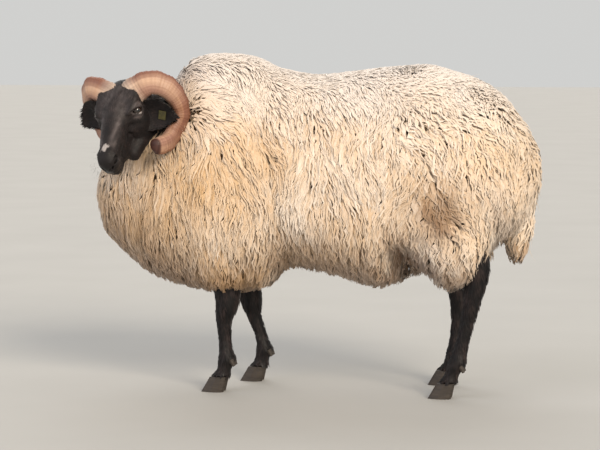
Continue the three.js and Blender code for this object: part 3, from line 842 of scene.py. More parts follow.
@dataclass(frozen=True)
class Hairs:
    """Single curved hairs made by Geometry Nodes: one tapered hair set on every root.

    Attributes:
        name: the piece's name.
        length: a hair's length, in metres.
        thickness: its root's radius over its length.
        bend: how far its tip falls aside, over its length.
        steps: rings along it.
        patch: width of its patch of the map OFBake.
    """

    name: str
    length: float
    thickness: float
    bend: float
    steps: int
    patch: float = 0.003
    store: ClassVar[str] = "GeometryNodeStoreNamedAttribute"

    def tree(self) -> Tree:
        """The tree, with named inputs for its sizes, its seed and its material."""
        tree = bpy.data.node_groups.new(self.name, "GeometryNodeTree")
        kinds = {"Roots": "Geometry", "Length": "Float", "Thickness": "Float", "Bend": "Float"}
        kinds |= {"Steps": "Int", "Patch": "Float", "Seed": "Int", "Material": "Material"}
        for label, kind in kinds.items():
            tree.interface.new_socket(label, in_out="INPUT", socket_type="NodeSocket" + kind)
        tree.interface.new_socket("Hairs", in_out="OUTPUT", socket_type="NodeSocketGeometry")
        given = node(tree, "NodeGroupInput").outputs
        hair = self.one(tree, given)
        # A hair on every root, along the root's own way, turned and sized at random.
        aim = node(tree, "FunctionNodeAlignRotationToVector", {"axis": "Z"}, Vector=self.kept(tree, "way"))
        size = node(tree, "FunctionNodeRandomValue", None, Min=0.6, Max=1.2, Seed=given["Seed"])
        scale = calc(tree, "MULTIPLY", size.outputs[1], given["Length"])
        held = {"Points": given["Roots"], "Instance": hair, "Rotation": aim, "Scale": scale}
        made = node(tree, "GeometryNodeInstanceOnPoints", None, **held)
        made = node(tree, "GeometryNodeRealizeInstances", None, Geometry=made)
        # The map OFBake: each hair a small patch at its root's place.
        u, v = (self.kept(tree, name, "FLOAT") for name in ("around", "along"))
        chart = node(tree, "ShaderNodeCombineXYZ", None, X=u, Y=v)
        chart = node(tree, "ShaderNodeVectorMath", {"operation": "SCALE"}, i0=chart, Scale=given["Patch"])
        place = self.kept(tree, "place")
        chart = node(tree, "ShaderNodeVectorMath", {"operation": "ADD"}, i0=chart, i1=place)
        kind = {"data_type": "FLOAT2", "domain": "CORNER"}
        made = node(tree, self.store, kind, Geometry=made, Name="OFBake", Value=chart)
        made = node(tree, "GeometryNodeSetMaterial", None, Geometry=made, Material=given["Material"])
        node(tree, "NodeGroupOutput", None, i0=made)
        return tree

    def kept(self, tree: Tree, name: str, kind: str = "FLOAT_VECTOR") -> Node:
        """A value stored on the geometry."""
        return node(tree, "GeometryNodeInputNamedAttribute", {"data_type": kind}, Name=name)

    def one(self, tree: Tree, given: bpy.types.bpy_prop_collection) -> Node:
        """One hair, a unit long: a line that curves aside and tapers, with a three-sided section."""
        line = node(tree, "GeometryNodeCurvePrimitiveLine", None, Start=(0, 0, 0), End=(0, 0, 1))
        line = node(tree, "GeometryNodeResampleCurve", None, Curve=line, Count=given["Steps"])
        along = node(tree, "GeometryNodeSplineParameter").outputs["Factor"]
        aside = calc(tree, "MULTIPLY", calc(tree, "POWER", along, 2.0), given["Bend"])
        offset = node(tree, "ShaderNodeCombineXYZ", None, X=aside)
        line = node(tree, "GeometryNodeSetPosition", None, Geometry=line, Offset=offset)
        line = node(tree, self.store, None, Geometry=line, Name="along", Value=along)
        taper = node(tree, "ShaderNodeMapRange", None, Value=along, To_Min=1.0, To_Max=0.05)
        radius = calc(tree, "MULTIPLY", taper, given["Thickness"])
        line = node(tree, "GeometryNodeSetCurveRadius", None, Curve=line, Radius=radius)
        ring = node(tree, "GeometryNodeCurvePrimitiveCircle", None, Resolution=3, Radius=1.0)
        around = node(tree, "GeometryNodeSplineParameter").outputs["Factor"]
        ring = node(tree, self.store, None, Geometry=ring, Name="around", Value=around)
        sweep = {"Curve": line, "Profile_Curve": ring, "Fill_Caps": True}
        # The sweep takes the radius as its scale where it has such an input.
        hair = node(tree, "GeometryNodeCurveToMesh", None, **sweep)
        if "Scale" in hair.inputs:
            tree.links.new(radius.outputs[0], hair.inputs["Scale"])
        return hair

    def grow(self, roots: Array, ways: Array, place: Array, material: Material, slot: str) -> Object:
        """Makes the hairs.

        Args:
            roots: places, in millimetres on the sheep's own axes.
            ways: the direction of each hair.
            place: where each root lies on the map, within 0 to 1.
            material: the hairs' material.
            slot: not used.

        Returns:
            The piece.
        """
        mesh = bpy.data.meshes.new(self.name + "_roots")
        mesh.vertices.add(len(roots))
        mesh.vertices.foreach_set("co", ((roots + SHIFT) / MM).astype(np.float32).ravel())
        flat = np.concatenate([place * (1 - self.patch), np.zeros((len(roots), 1))], 1)
        for key, vectors in (("way", unit(ways)), ("place", flat)):
            data = mesh.attributes.new(key, "FLOAT_VECTOR", "POINT").data
            data.foreach_set("vector", vectors.astype(np.float32).ravel())
        holder = add_object(self.name + "_roots", mesh)
        growth = holder.modifiers.new("growth", "NODES")
        growth.node_group = self.tree()
        sizes = {"Length": self.length, "Thickness": self.thickness, "Bend": self.bend, "Steps": self.steps}
        sizes |= {"Patch": self.patch, "Seed": SEED, "Material": material}
        for item in growth.node_group.interface.items_tree:
            if item.name in sizes:
                growth[item.identifier] = sizes[item.name]
        holder.update_tag()
        graph = bpy.context.evaluated_depsgraph_get()
        grown = bpy.data.meshes.new_from_object(holder.evaluated_get(graph))
        grown.name = self.name
        bpy.data.objects.remove(holder)
        LOG.info("%s: %d hairs, %d faces", self.name, len(roots), len(grown.polygons))
        return add_piece(grown, material)


# ------------------------------------------------------------------ finishes


class Blank:
    """A new material with only its shader, ready for colours."""

    def __init__(self, name: str, roughness: float, **numbers: float) -> None:
        """Makes the shader and sets the numbers that are the same all over."""
        self.material = bpy.data.materials.new(name)
        self.material.use_nodes = True
        self.tree = self.material.node_tree
        self.shader = self.tree.nodes["Principled BSDF"]
        self.shader.inputs["Roughness"].default_value = roughness
        for key, value in numbers.items():
            self.shader.inputs[key.replace("_", " ")].default_value = value

    def colour(self, source: Node) -> None:
        """Takes the base colour from a node."""
        self.tree.links.new(out_of(source), self.shader.inputs["Base Color"])

    def bump(self, height: object, strength: float, distance: float) -> None:
        """Adds a relief of a height in metres."""
        bump = node(self.tree, "ShaderNodeBump", None, Height=height, Strength=strength, Distance=distance)
        self.tree.links.new(bump.outputs[0], self.shader.inputs["Normal"])

    def place(self) -> Socket:
        """Places on the piece, in metres."""
        return node(self.tree, "ShaderNodeTexCoord").outputs["Object"]

    def cloud(self, millimetres: float, detail: float = 2.0, stretch: tuple = (1.0, 1.0, 1.0)) -> Node:
        """A cloudy pattern of a size in millimetres, drawn finer along an axis that is stretched."""
        at = node(self.tree, "ShaderNodeMapping", None, Vector=self.place(), Scale=stretch)
        return node(self.tree, "ShaderNodeTexNoise", None, Vector=at, Scale=MM / millimetres, Detail=detail)

    def grain(self, name: str, across: float, along: float, detail: float) -> Node:
        """A cloudy pattern with so many clouds across and along a map of the piece."""
        chart = node(self.tree, "ShaderNodeUVMap", {"uv_map": name})
        at = node(self.tree, "ShaderNodeMapping", None, Vector=chart, Scale=(across, along, 1.0))
        return node(self.tree, "ShaderNodeTexNoise", None, Vector=at, Scale=1.0, Detail=detail)

    def toward(self, colour: object, name: str, code: str) -> Node:
        """A colour drawn toward another by a number kept on the mesh."""
        return mixed(self.tree, attribute(self.tree, name), colour, linear(code))

    def times(self, colour: object, other: object, share: float = 1.0) -> Node:
        """A colour darkened by another."""
        return mixed(self.tree, share, colour, other, "MULTIPLY")


@dataclass(frozen=True)
class WoolFinish:
    """Raw fleece of a hill sheep: matt, greasy-yellow in its depths, bleached and dusty at its tips."""

    depth: str = "#dfc09c"
    middle: str = "#ecd3b8"
    tip: str = "#f3e1cf"
    pale: str = "#f8ecdf"
    warm: str = "#dfba8e"
    bleached: str = "#e8ddd5"
    soil_and_shade: str = "#86603f"
    shade: str = "#1c1716"
    sheen: float = 0.25

    def material(self) -> Material:
        """The material of locks, coloured by their own numbers."""
        m = Blank("raw_fleece_wool", 0.95, Sheen_Weight=self.sheen, Specular_IOR_Level=0.2)
        # Fibres run the length of a lock, about seven side by side.
        streak = m.grain("Fibre", 7.0, 1.6, 2.0)
        stops = (0.0, self.depth), (0.35, self.middle), (0.8, self.tip), (1.0, self.pale)
        toned = m.toward(ramp(m.tree, attribute(m.tree, "along"), *stops), "tone", self.warm)
        lined = m.times(toned, ramp(m.tree, streak, (0.3, "#a8987e"), (0.6, "#ffffff")), 0.3)
        aired = m.toward(lined, "bleach", self.bleached)
        # The soil mix holds real stains and painted shade under the belly and in the groin hollow; the
        # black mix is painted shade on the locks under the ear and jaw.
        m.colour(m.toward(m.toward(aired, "soil_and_shade", self.soil_and_shade), "black", self.shade))
        m.bump(streak, 0.3, 0.001)
        return m.material


@dataclass(frozen=True)
class HairFinish:
    """Short black hair of the face and legs, rusty where light wears it and with a soft gloss."""

    black: str = "#110e0f"
    worn: str = "#332826"
    grey: str = "#6a6160"
    pale: str = "#c2b8b4"

    def material(self) -> Material:
        """The material of the short tufts."""
        m = Blank("short_black_hair", 0.5, Sheen_Weight=0.05, Specular_IOR_Level=0.28)
        dark = m.toward(linear(self.black), "tone", self.worn)
        # The grey mix is worn hair with a painted sheen of light; the pale mix is a pale patch and a
        # painted highlight on the lower lids.
        m.colour(m.toward(m.toward(dark, "grey", self.grey), "pale", self.pale))
        return m.material


@dataclass(frozen=True)
class SkinFinish:
    """Hide: black under the short hair, and soiled cream wool grease under the fleece."""

    black: str = "#0f0c0d"
    worn: str = "#231c1b"
    wool: str = "#d8bb94"
    grey: str = "#605655"
    pale: str = "#b4aaa6"

    def material(self) -> Material:
        """The material of the skin, glossy where it is wet."""
        m = Blank("hide", 0.62, Specular_IOR_Level=0.28)
        tree = m.tree
        dark = mixed(tree, m.cloud(28, 3.0), linear(self.black), linear(self.worn))
        # The grey mix is worn hair with a painted sheen of light; the pale mix is a pale patch and a
        # painted highlight on the lower lids.
        lit = m.toward(m.toward(dark, "grey", self.grey), "pale", self.pale)
        m.colour(mixed(tree, attribute(tree, "black"), linear(self.wool), lit))
        wet = attribute(tree, "wet")
        gloss = node(tree, "ShaderNodeMapRange", None, Value=wet, To_Min=0.62, To_Max=0.2)
        tree.links.new(gloss.outputs[0], m.shader.inputs["Roughness"])
        # The relief of the hair is drawn much coarser than hair, so that it shows.
        m.bump(m.cloud(1.6, 3.0), 0.35, 0.0006)
        return m.material


@dataclass(frozen=True)
class HornFinish:
    """Horn: layered keratin, whitish at the skull, pinkish tan along the curl, dark at the tip."""

    root: str = "#cfc0b0"
    middle: str = "#ab8270"
    gold: str = "#cfa98d"
    deep: str = "#6f473a"
    tip: str = "#40221a"

    def material(self) -> Material:
        """The material of the horns, coloured along the curl."""
        m = Blank("horn_keratin", 0.5, Specular_IOR_Level=0.45)
        tree, clear, full = m.tree, "#000000", "#ffffff"
        growth = node(tree, "ShaderNodeUVMap", {"uv_map": "Growth"})
        crest, station = node(tree, "ShaderNodeSeparateXYZ", None, Vector=growth).outputs[:2]
        body = ramp(tree, m.grain("Growth", 2.6, 1.4, 2.0), (0.4, self.middle), (0.6, self.gold))
        # Painted shade: the outer rim of the curl darker than its flanks, and the middle of the curl, where
        # it turns down, darker than its base and end.
        body = m.times(body, ramp(tree, crest, (0.66, full), (0.92, "#bda196")))
        curl_shade = (0.36, full), (0.52, "#c6b0a6"), (0.72, "#c6b4ae"), (0.9, full)
        body = m.times(body, ramp(tree, station, *curl_shade))
        white = ramp(tree, station, (0.07, "#c8c8c8"), (0.15, clear))
        body = mixed(tree, white, body, linear(self.root))
        dark = ramp(tree, station, (0.955, clear), (0.975, full))
        body = mixed(tree, dark, body, linear(self.tip))
        # Growth rings some millimetres apart, and fine checks along the horn.
        ring, check = m.grain("Growth", 1.2, 52.0, 3.0), m.grain("Growth", 18.0, 3.0, 4.0)
        later = node(tree, "ShaderNodeMapRange", None, Value=station, To_Min=0.2, To_Max=1.0)
        share = calc(tree, "MULTIPLY", ramp(tree, ring, (0.42, clear), (0.66, "#a8a8a8")), later)
        banded = mixed(tree, share, body, linear(self.deep))
        m.colour(m.times(banded, ramp(tree, check, (0.3, "#b8a493"), (0.62, full)), 0.4))
        m.bump(calc(tree, "ADD", ring, check), 0.5, 0.0014)
        return m.material


@dataclass(frozen=True)
class EyeFinish:
    """A wet eye: dark amber iris, level oval pupil, brown rim."""

    iris: str = "#24160b"
    ring: str = "#0d0806"
    pupil: str = "#040303"
    white: str = "#1d1512"

    def material(self) -> Material:
        """The material of the eyeballs, drawn on their map Gaze, whose middle is the pupil's."""
        m = Blank("wet_eye", 0.08, Coat_Weight=0.6, Coat_Roughness=0.03)
        tree, size = m.tree, {"operation": "LENGTH"}
        gaze = node(tree, "ShaderNodeUVMap", {"uv_map": "Gaze"})
        part = node(tree, "ShaderNodeSeparateXYZ", None, Vector=gaze)
        radius = node(tree, "ShaderNodeVectorMath", size, i0=gaze).outputs["Value"]
        stops = (0.0, self.iris), (0.62, self.iris), (0.74, self.ring), (0.9, self.white)
        wide = calc(tree, "MULTIPLY", part.outputs[0], 0.42)
        oval = node(tree, "ShaderNodeCombineXYZ", None, X=wide, Y=part.outputs[1])
        length = node(tree, "ShaderNodeVectorMath", size, i0=oval).outputs["Value"]
        hole = ramp(tree, length, (0.14, "#ffffff"), (0.18, "#000000"))
        m.colour(mixed(tree, hole, ramp(tree, radius, *stops), linear(self.pupil)))
        return m.material


@dataclass(frozen=True)
class HoofFinish:
    """Claw horn: dull near-black, scuffed grey in level layers."""

    dark: str = "#1d1815"
    scuffed: str = "#4a4037"

    def material(self) -> Material:
        """The material of the claws, in level layers."""
        m = Blank("claw_horn", 0.6)
        layers = m.cloud(22, 4.0, (1.0, 1.0, 5.0))
        m.colour(mixed(m.tree, layers, linear(self.dark), linear(self.scuffed)))
        m.bump(layers, 0.5, 0.002)
        return m.material


@dataclass(frozen=True)
class TagFinish:
    """Moulded polyurethane, faded yellow and grubby."""

    clean: str = "#575125"
    grubby: str = "#1b1a10"

    def material(self) -> Material:
        """The material of the ear tag."""
        m = Blank("faded_tag_plastic", 0.5)
        m.colour(mixed(m.tree, m.cloud(6, 3.0), linear(self.clean), linear(self.grubby)))
        m.bump(m.cloud(1.2), 0.1, 0.0004)
        return m.material


# ------------------------------------------------------------------ markings shared by skin and coat


def within(p: Array, middle: Sequence[float], radii: Sequence[float]) -> Array:
    """How far places lie from a middle, in radii."""
    return np.linalg.norm((p - np.array(middle)) / np.array(radii), axis=1)


class Marking(Enum):
    """Darkened places on the fleece: middle, radii and strength. The hind stains are soiling; the groin's
    mark is painted shade in the hollow between belly and thigh.
    """

    HIND_STAIN = ((306, -205, 420), (66, 90, 62), 0.95)
    HIND_STAIN_FAR = ((330, 205, 400), (44, 60, 44), 0.5)
    NECK_TOP = ((-292, -90, 752), (38, 70, 42), 0.55)
    CHEST = ((-400, -110, 380), (110, 110, 90), 0.35)
    TAIL_FOLD = ((440, -90, 470), (22, 60, 70), 0.55)
    # Painted shade: the hollow between belly and thigh, darkened like the shade in it.
    GROIN_SHADE = ((222, -100, 300), (56, 80, 60), 0.9)

    def amount(self, p: Array) -> Array:
        """How much of this mark lies at each place."""
        middle, radii, strength = self.value
        return strength * np.exp(-(within(p, middle, radii) ** 2) * 1.1)


def soil_and_shade(p: Array) -> Array:
    """How darkened the fleece is at each place, 0 to 1: stains, darker toward the bottom, and the painted
    shade of the groin hollow.
    """
    stain = np.max([mark.amount(p) for mark in Marking], 0)
    low = 0.22 * ease(360, 250, p[:, 2])
    cloud = 0.75 + 0.35 * wobble(p, 38, 5)[:, 0]
    return np.clip((stain + low) * cloud, 0, 1)


def under_ear(p: Array) -> Array:
    """How much painted shade darkens the wool where it meets the jaw and ear, 0 to 1."""
    q = HEAD.beside(p)
    below = rod((-28, 50, -106), (-66, 84, -118), 0, 0)
    behind = rod((-98, 22, -42), (-106, 68, -56), 0, 0)
    return ease(46, 30, np.minimum(below(q), 6 + behind(q)))


def grey(p: Array) -> Array:
    """How far black hair turns a brownish grey, 0 to 1: real wear together with a painted sheen where light
    catches the brow, the bridge of the nose and the rims of the eyes.
    """
    m = HEAD.folded(HEAD.pose.local(p))
    around = np.linalg.norm(m - np.array(HEAD.eye), axis=1) - HEAD.eye_radius
    rim = np.exp(-(((around - 5) / 3.5) ** 2)) * ease(-26, -6, m[:, 2] + 0.3 * (m[:, 0] - 62) + 30)
    # The bridge of the nose is mostly painted sheen of light; the other places mix worn grey with painted
    # sheen.
    places = (
        ((100, 20, -16), (172, 15, -18), 9, 0.6),
        ((24, 14, 0), (78, 22, -8), 24, 0.4),
        ((196, 24, -44), (204, 18, -54), 7, 0.35),
    )
    worn = [amount * np.exp(-((rod(a, b, 0, 0)(m) / size) ** 2)) for a, b, size, amount in places]
    return np.clip(np.max([0.75 * rim, *worn], 0) * (0.8 + 0.4 * wobble(p, 9, 61)[:, 0]), 0, 1)


def pale(p: Array) -> Array:
    """How pale the hide is, 0 to 1: a patch above one nostril, and a painted highlight on the wet lower
    lids.
    """
    q = HEAD.pose.local(p)
    patch = within(q, (184.0, 9.0, -15.0), (9.0, 7.5, 12.0)) + 0.3 * wobble(p, 7, 62)[:, 0]
    # Painted highlight: the wet rim of the lower lid.
    lid = within(HEAD.folded(q) - np.array(HEAD.eye), (8.3, 13.8, -0.7), (4.0, 6.0, 3.0))
    return np.maximum(0.8 * ease(1.3, 0.8, patch), 0.75 * ease(1.5, 0.7, lid))


def wet(p: Array) -> Array:
    """How wet the hide is, 0 to 1: the nose between the nostrils and the lips."""
    m = HEAD.folded(HEAD.pose.local(p))
    return np.exp(-((rod((214, 4, -36), (220, 3, -58), 0, 0)(m) / 9) ** 2))


def black(p: Array) -> Array:
    """1 where short black hair grows, and under the ear and jaw where shade is painted dark; 0 where wool
    does.
    """
    ear = rod(Ear.root, Ear.tip, 48, 38)(HEAD.beside(p))
    on_head = ease(13, 5, np.minimum(HEAD.world_outline(p), ear))
    on_leg = ease(-20, -4, BODY.fleece(p)) * ease(9, 3, BODY.leg_outline(p))
    return np.maximum(np.maximum(on_head, under_ear(p)), on_leg)


# ------------------------------------------------------------------ the skin


class Skin:
    """One hide over head, ears, neck, trunk, tail and legs."""

    replaced = (
        "head", "neck", "trunk", "tail", "ear_left", "ear_right",
        "leg_front_left", "leg_front_right", "leg_hind_left", "leg_hind_right",
    )

    def parts(self) -> list[Object]:
        """The separate bodies that the hide runs over."""
        made = [("trunk", *surface(BODY.flesh, BODY.low, BODY.high, 9.0))]
        head_points, head_faces = surface(HEAD.flesh, (-70, -80, -150), (240, 80, 16), 1.6)
        made.append(("head", HEAD.pose.world(head_points), head_faces))
        for index, (y, rows) in enumerate(BODY.legs):
            low = (min(row[1] - row[2] for row in rows) - 12, y - 62, 24)
            high = (max(row[1] + row[2] for row in rows) + 12, y + 62, rows[0][0] + 12)
            made.append((f"leg_{index}", *surface(BODY.leg_flesh(index), low, high, 4.0)))
        for hand in (1, -1):
            made.append((f"ear_{hand}", *Ear(hand).shell()))
        return [add_object("hide_" + name, make_mesh("hide_" + name, *body)) for name, *body in made]

    def build(self) -> Mesh:
        """Joins the bodies into one closed mesh."""
        first, *others = self.parts()
        for other in others:
            join = first.modifiers.new("join", "BOOLEAN")
            join.operation, join.solver, join.object = "UNION", "MANIFOLD", other
        graph = bpy.context.evaluated_depsgraph_get()
        mesh = bpy.data.meshes.new_from_object(first.evaluated_get(graph))
        mesh.name = "sheep_skin"
        for body in (first, *others):
            bpy.data.objects.remove(body)
        mesh.shade_smooth()
        return mesh

    def dress(self, mesh: Mesh) -> Object:
        """Marks the skin's colours and puts it in place of the solid flesh."""
        points = points_of(mesh)
        for values in (black, soil_and_shade, grey, pale, wet):
            set_values(mesh, values.__name__, values(points))
        piece = add_piece(mesh, SkinFinish().material())
        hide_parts(*self.replaced)
        return piece


# ------------------------------------------------------------------ the fleece


def tangent(v: Array, n: Array) -> Array:
    """Directions laid flat on the surface whose normals are n."""
    return unit(v - n * dot(v, n)[:, None])


@dataclass(frozen=True)
class Layer:
    """One layer of the fleece.

    Attributes:
        name: what its strands are called.
        count: strands, about.
        rings: rings along each.
        width: half a strand's width.
        flat: its thickness over its width.
        share: its length over the fleece's.
        rise: how much further out than the locks it lies.
        shades: where its root and tip come in the colours along a lock.
    """

    name: str
    count: int
    rings: int
    width: float
    flat: float
    share: float
    rise: float
    shades: tuple


@dataclass(frozen=True)
class Fleece:
    """Broad locks under hanging, wavy ones, with finer wisps between them and loose fibres over all.

    Attributes:
        layers: the layers, from the skin outward.
        loose: loose fibres, about.
        clump: how far apart the clumps lie in which locks draw together.
        tuck: how much deeper a lock runs under its neighbours than its tip lies.
        hang: how far a lock may hang clear of the coat where the coat faces down.
        overhang: how far the shoulder's locks stand out over the flank's, and those lie back.
        collar: the middle of the head's collar, from which the locks round it fan out.
        profile: places along a lock, and its width there over its greatest.
        bands: the names of the coat's pieces to either side, and where each begins and ends.
        neck_end: where the neck's piece ends.
        tail_box: the tail's piece: where it begins, how wide it is, and how high it goes.
    """

    layers: tuple = (
        Layer("under", 5200, 4, 8.8, 0.3, 0.8, -3.5, (0.6, 0.9)),
        Layer("locks", 9300, 8, 3.9, 0.6, 1.0, 0.0, (0.25, 0.95)),
        Layer("wisps", 10800, 5, 1.9, 0.8, 0.85, 1.5, (0.25, 1.0)),
    )
    loose: int = 1700
    clump: float = 26
    tuck: float = 7
    hang: float = 13
    overhang: float = 7
    collar: tuple = (-272.0, -125.0, 634.0)
    profile: tuple = ((0, 0.2, 0.45, 0.7, 0.88, 1), (0.55, 0.9, 1.0, 0.86, 0.5, 0.04))
    bands: tuple = (("shoulder", -290, -60), ("flank", -60, 190), ("rump", 190, math.inf))
    neck_end: float = -290
    tail_box: tuple = (425, 45, 640)

    def lie(self, p: Array, n: Array) -> Array:
        """The way the locks lie at each place: down, off the spine, and round the head like petals."""
        spine = ease(0.35, 0.9, n[:, 2])
        down = np.tile([0.16, 0.0, -1.0], (len(p), 1))
        down[:, 1] += np.tanh(p[:, 1] / 40) * 0.5 * spine
        down[:, 0] += 0.8 * spine
        down[:, 0] -= 0.45 * ease(-330, -430, p[:, 0])
        away = p - np.array(self.collar)
        near = ease(190, 60, np.linalg.norm(away, axis=1))
        t = tangent(unit(down) + unit(away) * (1.5 * near)[:, None], n)
        curly = 0.35 + 0.55 * ease(120, 300, p[:, 0]) * ease(300, 420, p[:, 2])
        angle = curly * wobble(p, 80, 3)[:, 0] + 0.28 * wobble(p, 30, 4)[:, 0]
        return t * np.cos(angle)[:, None] + np.cross(n, t) * np.sin(angle)[:, None]

    def length(self, p: Array, n: Array) -> Array:
        """How long the locks are: shorter on the back, the rump and underneath, longer on the chest."""
        base = 96 - 42 * ease(0.3, 0.8, n[:, 2]) - 26 * ease(120, 260, p[:, 0]) * ease(280, 380, p[:, 2])
        base = base + 18 * ease(-250, -380, p[:, 0]) * ease(620, 540, p[:, 2])
        return base * (1 - 0.42 * ease(-0.3, -0.85, n[:, 2]))

    def walk(self, roots: Array, facing: Array, top: Array, length: Array, rings: int) -> list[Array]:
        """Leads strands out through the coat and along it.

        Args:
            roots: places on the skin.
            facing: the way the coat faces there.
            top: how far out each strand's tip lies.
            length: how long each strand is.
            rings: rings along it.

        Returns:
            At each ring of each strand: its place, the way the coat faces, and the strand's own way.
        """
        s = np.linspace(0, 1, rings)
        start = BODY.coat(roots)
        path, normals, ways = [roots], [facing], []
        p = roots
        for k in range(1, rings):
            n = unit(slope(BODY.coat, p))
            fall = ease(0.3, 0.9, s[k]) * ease(0.1, -0.4, n[:, 2])
            way = unit(self.lie(p, n) * (1 - fall)[:, None] - np.array([0, 0, 1]) * fall[:, None])
            ways.append(way)
            # The first step is short, since it also leads outward.
            p = p + way * (length / (rings - 1) * (0.5 if k == 1 else 1.08))[:, None]
            # A lock leaves the skin, runs under its neighbours, and comes out at its tip.
            level = start + (top - self.tuck - start) * ease(0.0, 0.3, s[k])
            level = level + self.tuck * ease(0.2, 1.0, s[k])
            g, d = slope(BODY.coat, p), BODY.coat(p)
            wanted = np.clip(d, level, level + self.hang * fall)
            p = p + g * ((wanted - d) / np.maximum(dot(g, g), 0.2))[:, None]
            path.append(p)
            normals.append(n)
        ways.append(ways[-1])
        return [np.stack(rows, 1) for rows in (path, normals, ways)]

    def strands(self, roots: Array, layer: Layer, rng: np.random.Generator) -> Strands:
        """Grows a layer's strands from their roots.

        Args:
            roots: places on the skin.
            layer: the layer that they belong to.
            rng: the random source.

        Returns:
            The strands.
        """
        count = len(roots)
        s = np.linspace(0, 1, layer.rings)
        n = unit(slope(BODY.coat, roots))
        length = self.length(roots, n) * rng.uniform(0.8, 1.2, count) * layer.share
        clump = self.clumps(roots)
        lift = rng.uniform(-1, 1, clump.max() + 1)[clump]
        upward = ease(0.4, 0.8, n[:, 2])
        top = layer.rise - 2.0 + 4.0 * lift * (1 - upward)
        top += rng.uniform(-2.0, 2.0, count) * (1 - 0.5 * upward)
        top += 4.0 * ease(0.5, 0.9, n[:, 2]) + self.curtain(roots)
        path, normals, ways = self.walk(roots, n, top, length, layer.rings)
        path = self.gather(path, clump, s * (1 - 0.75 * ease(0.3, 0.7, n[:, 2]))[:, None])
        across = unit(np.cross(ways, normals))
        waves = length / rng.uniform(30, 44, count)
        begin = 2.2 * wobble(roots, 60, 8)[:, 0] + rng.normal(0, 0.7, count)
        phase = 2 * np.pi * (waves[:, None] * s) + begin[:, None]
        swing = 3.4 + 2.0 * ease(120, 300, roots[:, 0]) - 2.0 * upward
        swing = swing[:, None] * ease(0.1, 0.6, s)
        path = path + across * (swing * np.sin(phase))[..., None]
        path = path + normals * (swing * 0.45 * np.cos(phase))[..., None]
        twist = (rng.uniform(-0.4, 0.4, count)[:, None] + 0.4 * np.sin(phase))[..., None]
        wide_way = unit(across * np.cos(twist) + normals * np.sin(twist))
        thick_way = unit(np.cross(wide_way, ways))
        wide = (layer.width * rng.uniform(0.7, 1.3, count))[:, None] * np.interp(s, *self.profile)
        along = layer.shades[0] + s * (layer.shades[1] - layer.shades[0])
        values = self.numbers(roots, path[:, -2], clump, along, rng)
        place = self.place(roots)
        return Strands(path, wide_way, thick_way, wide, wide * layer.flat, values, place, normals)

    def place(self, roots: Array) -> Array:
        """Where roots lie on the coat unrolled about its long axis."""
        return unrolled(roots[:, 0], np.arctan2(roots[:, 1], roots[:, 2] - 500))

    def curtain(self, p: Array) -> Array:
        """How far the shoulder's locks hang over those of the flank, along the edge behind it."""
        ahead = -92 + 0.12 * (520 - p[:, 2]) + 10 * wobble(p, 70, 44)[:, 0] - p[:, 0]
        side = ease(0, 120, np.abs(p[:, 1])) * ease(700, 600, p[:, 2])
        return side * (self.overhang * np.where(ahead > 0, ease(110, 20, ahead), -ease(-90, 0, ahead)))

    def clumps(self, roots: Array) -> Array:
        """Which clump each root belongs to."""
        bent = roots + 9 * wobble(roots, 45, 12, 3)
        _, member = np.unique(np.floor(bent / self.clump).astype(int), axis=0, return_inverse=True)
        return member.reshape(-1)

    def gather(self, path: Array, clump: Array, s: Array) -> Array:
        """Draws the strands of a clump together toward their tips."""
        total = np.zeros((clump.max() + 1, *path.shape[1:]))
        np.add.at(total, clump, path)
        mean = total / np.bincount(clump)[:, None, None]
        tight = 0.55 + 0.3 * ease(350, 290, path[:, 0, 2])
        return path + (mean[clump] - path) * (tight[:, None] * s**1.5)[..., None]

    def numbers(
        self, roots: Array, seen: Array, clump: Array, along: Array, rng: np.random.Generator
    ) -> dict[str, Array]:
        """The numbers that colour each strand.

        Args:
            roots: places on the skin.
            seen: the part of each strand that is seen.
            clump: the clump that each belongs to.
            along: where each ring comes in the colours along a lock.
            rng: the random source.

        Returns:
            Each number by name, one for each ring of each strand.
        """
        tone = rng.uniform(0, 1, clump.max() + 1)[clump] * 0.25 + rng.uniform(0, 0.25, len(roots))
        tone += 0.2 * wobble(roots, 90, 21)[:, 0] + 0.35 * ease(20, -160, roots[:, 0])
        # Painted shade: strands that face downward are darkened toward the soil colour, like the shade
        # under the belly.
        underside_shade = 0.38 * ease(-0.3, -0.85, unit(slope(BODY.coat, seen))[:, 2])
        values = {
            "tone": np.clip(tone - 0.25 * ease(620, 740, roots[:, 2]), 0, 1),
            "soil_and_shade": np.clip(soil_and_shade(seen) + underside_shade, 0, 1),
            "bleach": 0.75 * ease(590, 735, roots[:, 2]),
            # painted shade: the locks under the ear and jaw are drawn dark
            "black": under_ear(seen),
        }
        spread = {name: value[:, None] * np.ones((1, len(along))) for name, value in values.items()}
        return {"along": np.tile(along, (len(roots), 1))} | spread

    def regions(self, roots: Array) -> dict[str, Array]:
        """The pieces that the fleece is made in, each with the roots that it takes."""
        x, left = roots[:, 0], roots[:, 1] < 0
        begin, wide, high = self.tail_box
        tail = (x > begin) & (np.abs(roots[:, 1]) < wide) & (roots[:, 2] < high)
        made = {"neck": (x < self.neck_end) & ~tail}
        for name, low, high in self.bands:
            band = (x >= low) & (x < high) & ~tail
            made |= {name + "_left": band & left, name + "_right": band & ~left}
        return made | {"tail": tail}

    def rooted(self, points: Array, faces: Array, count: int, rng: np.random.Generator) -> Array:
        """Roots of about so many strands where wool grows, set closer along the spine."""
        roots = scatter(points, faces, count, rng)
        spine = points[faces].mean(1)[:, 2] > 665
        roots = np.concatenate([roots, scatter(points, faces[spine], count // 3, rng)])
        clear = (HEAD.world_outline(roots) > 9) & (BODY.coat(roots) > -75)
        clear &= (BODY.leg_outline(roots) > -2) | (BODY.fleece(roots) < -20)
        return roots[clear]

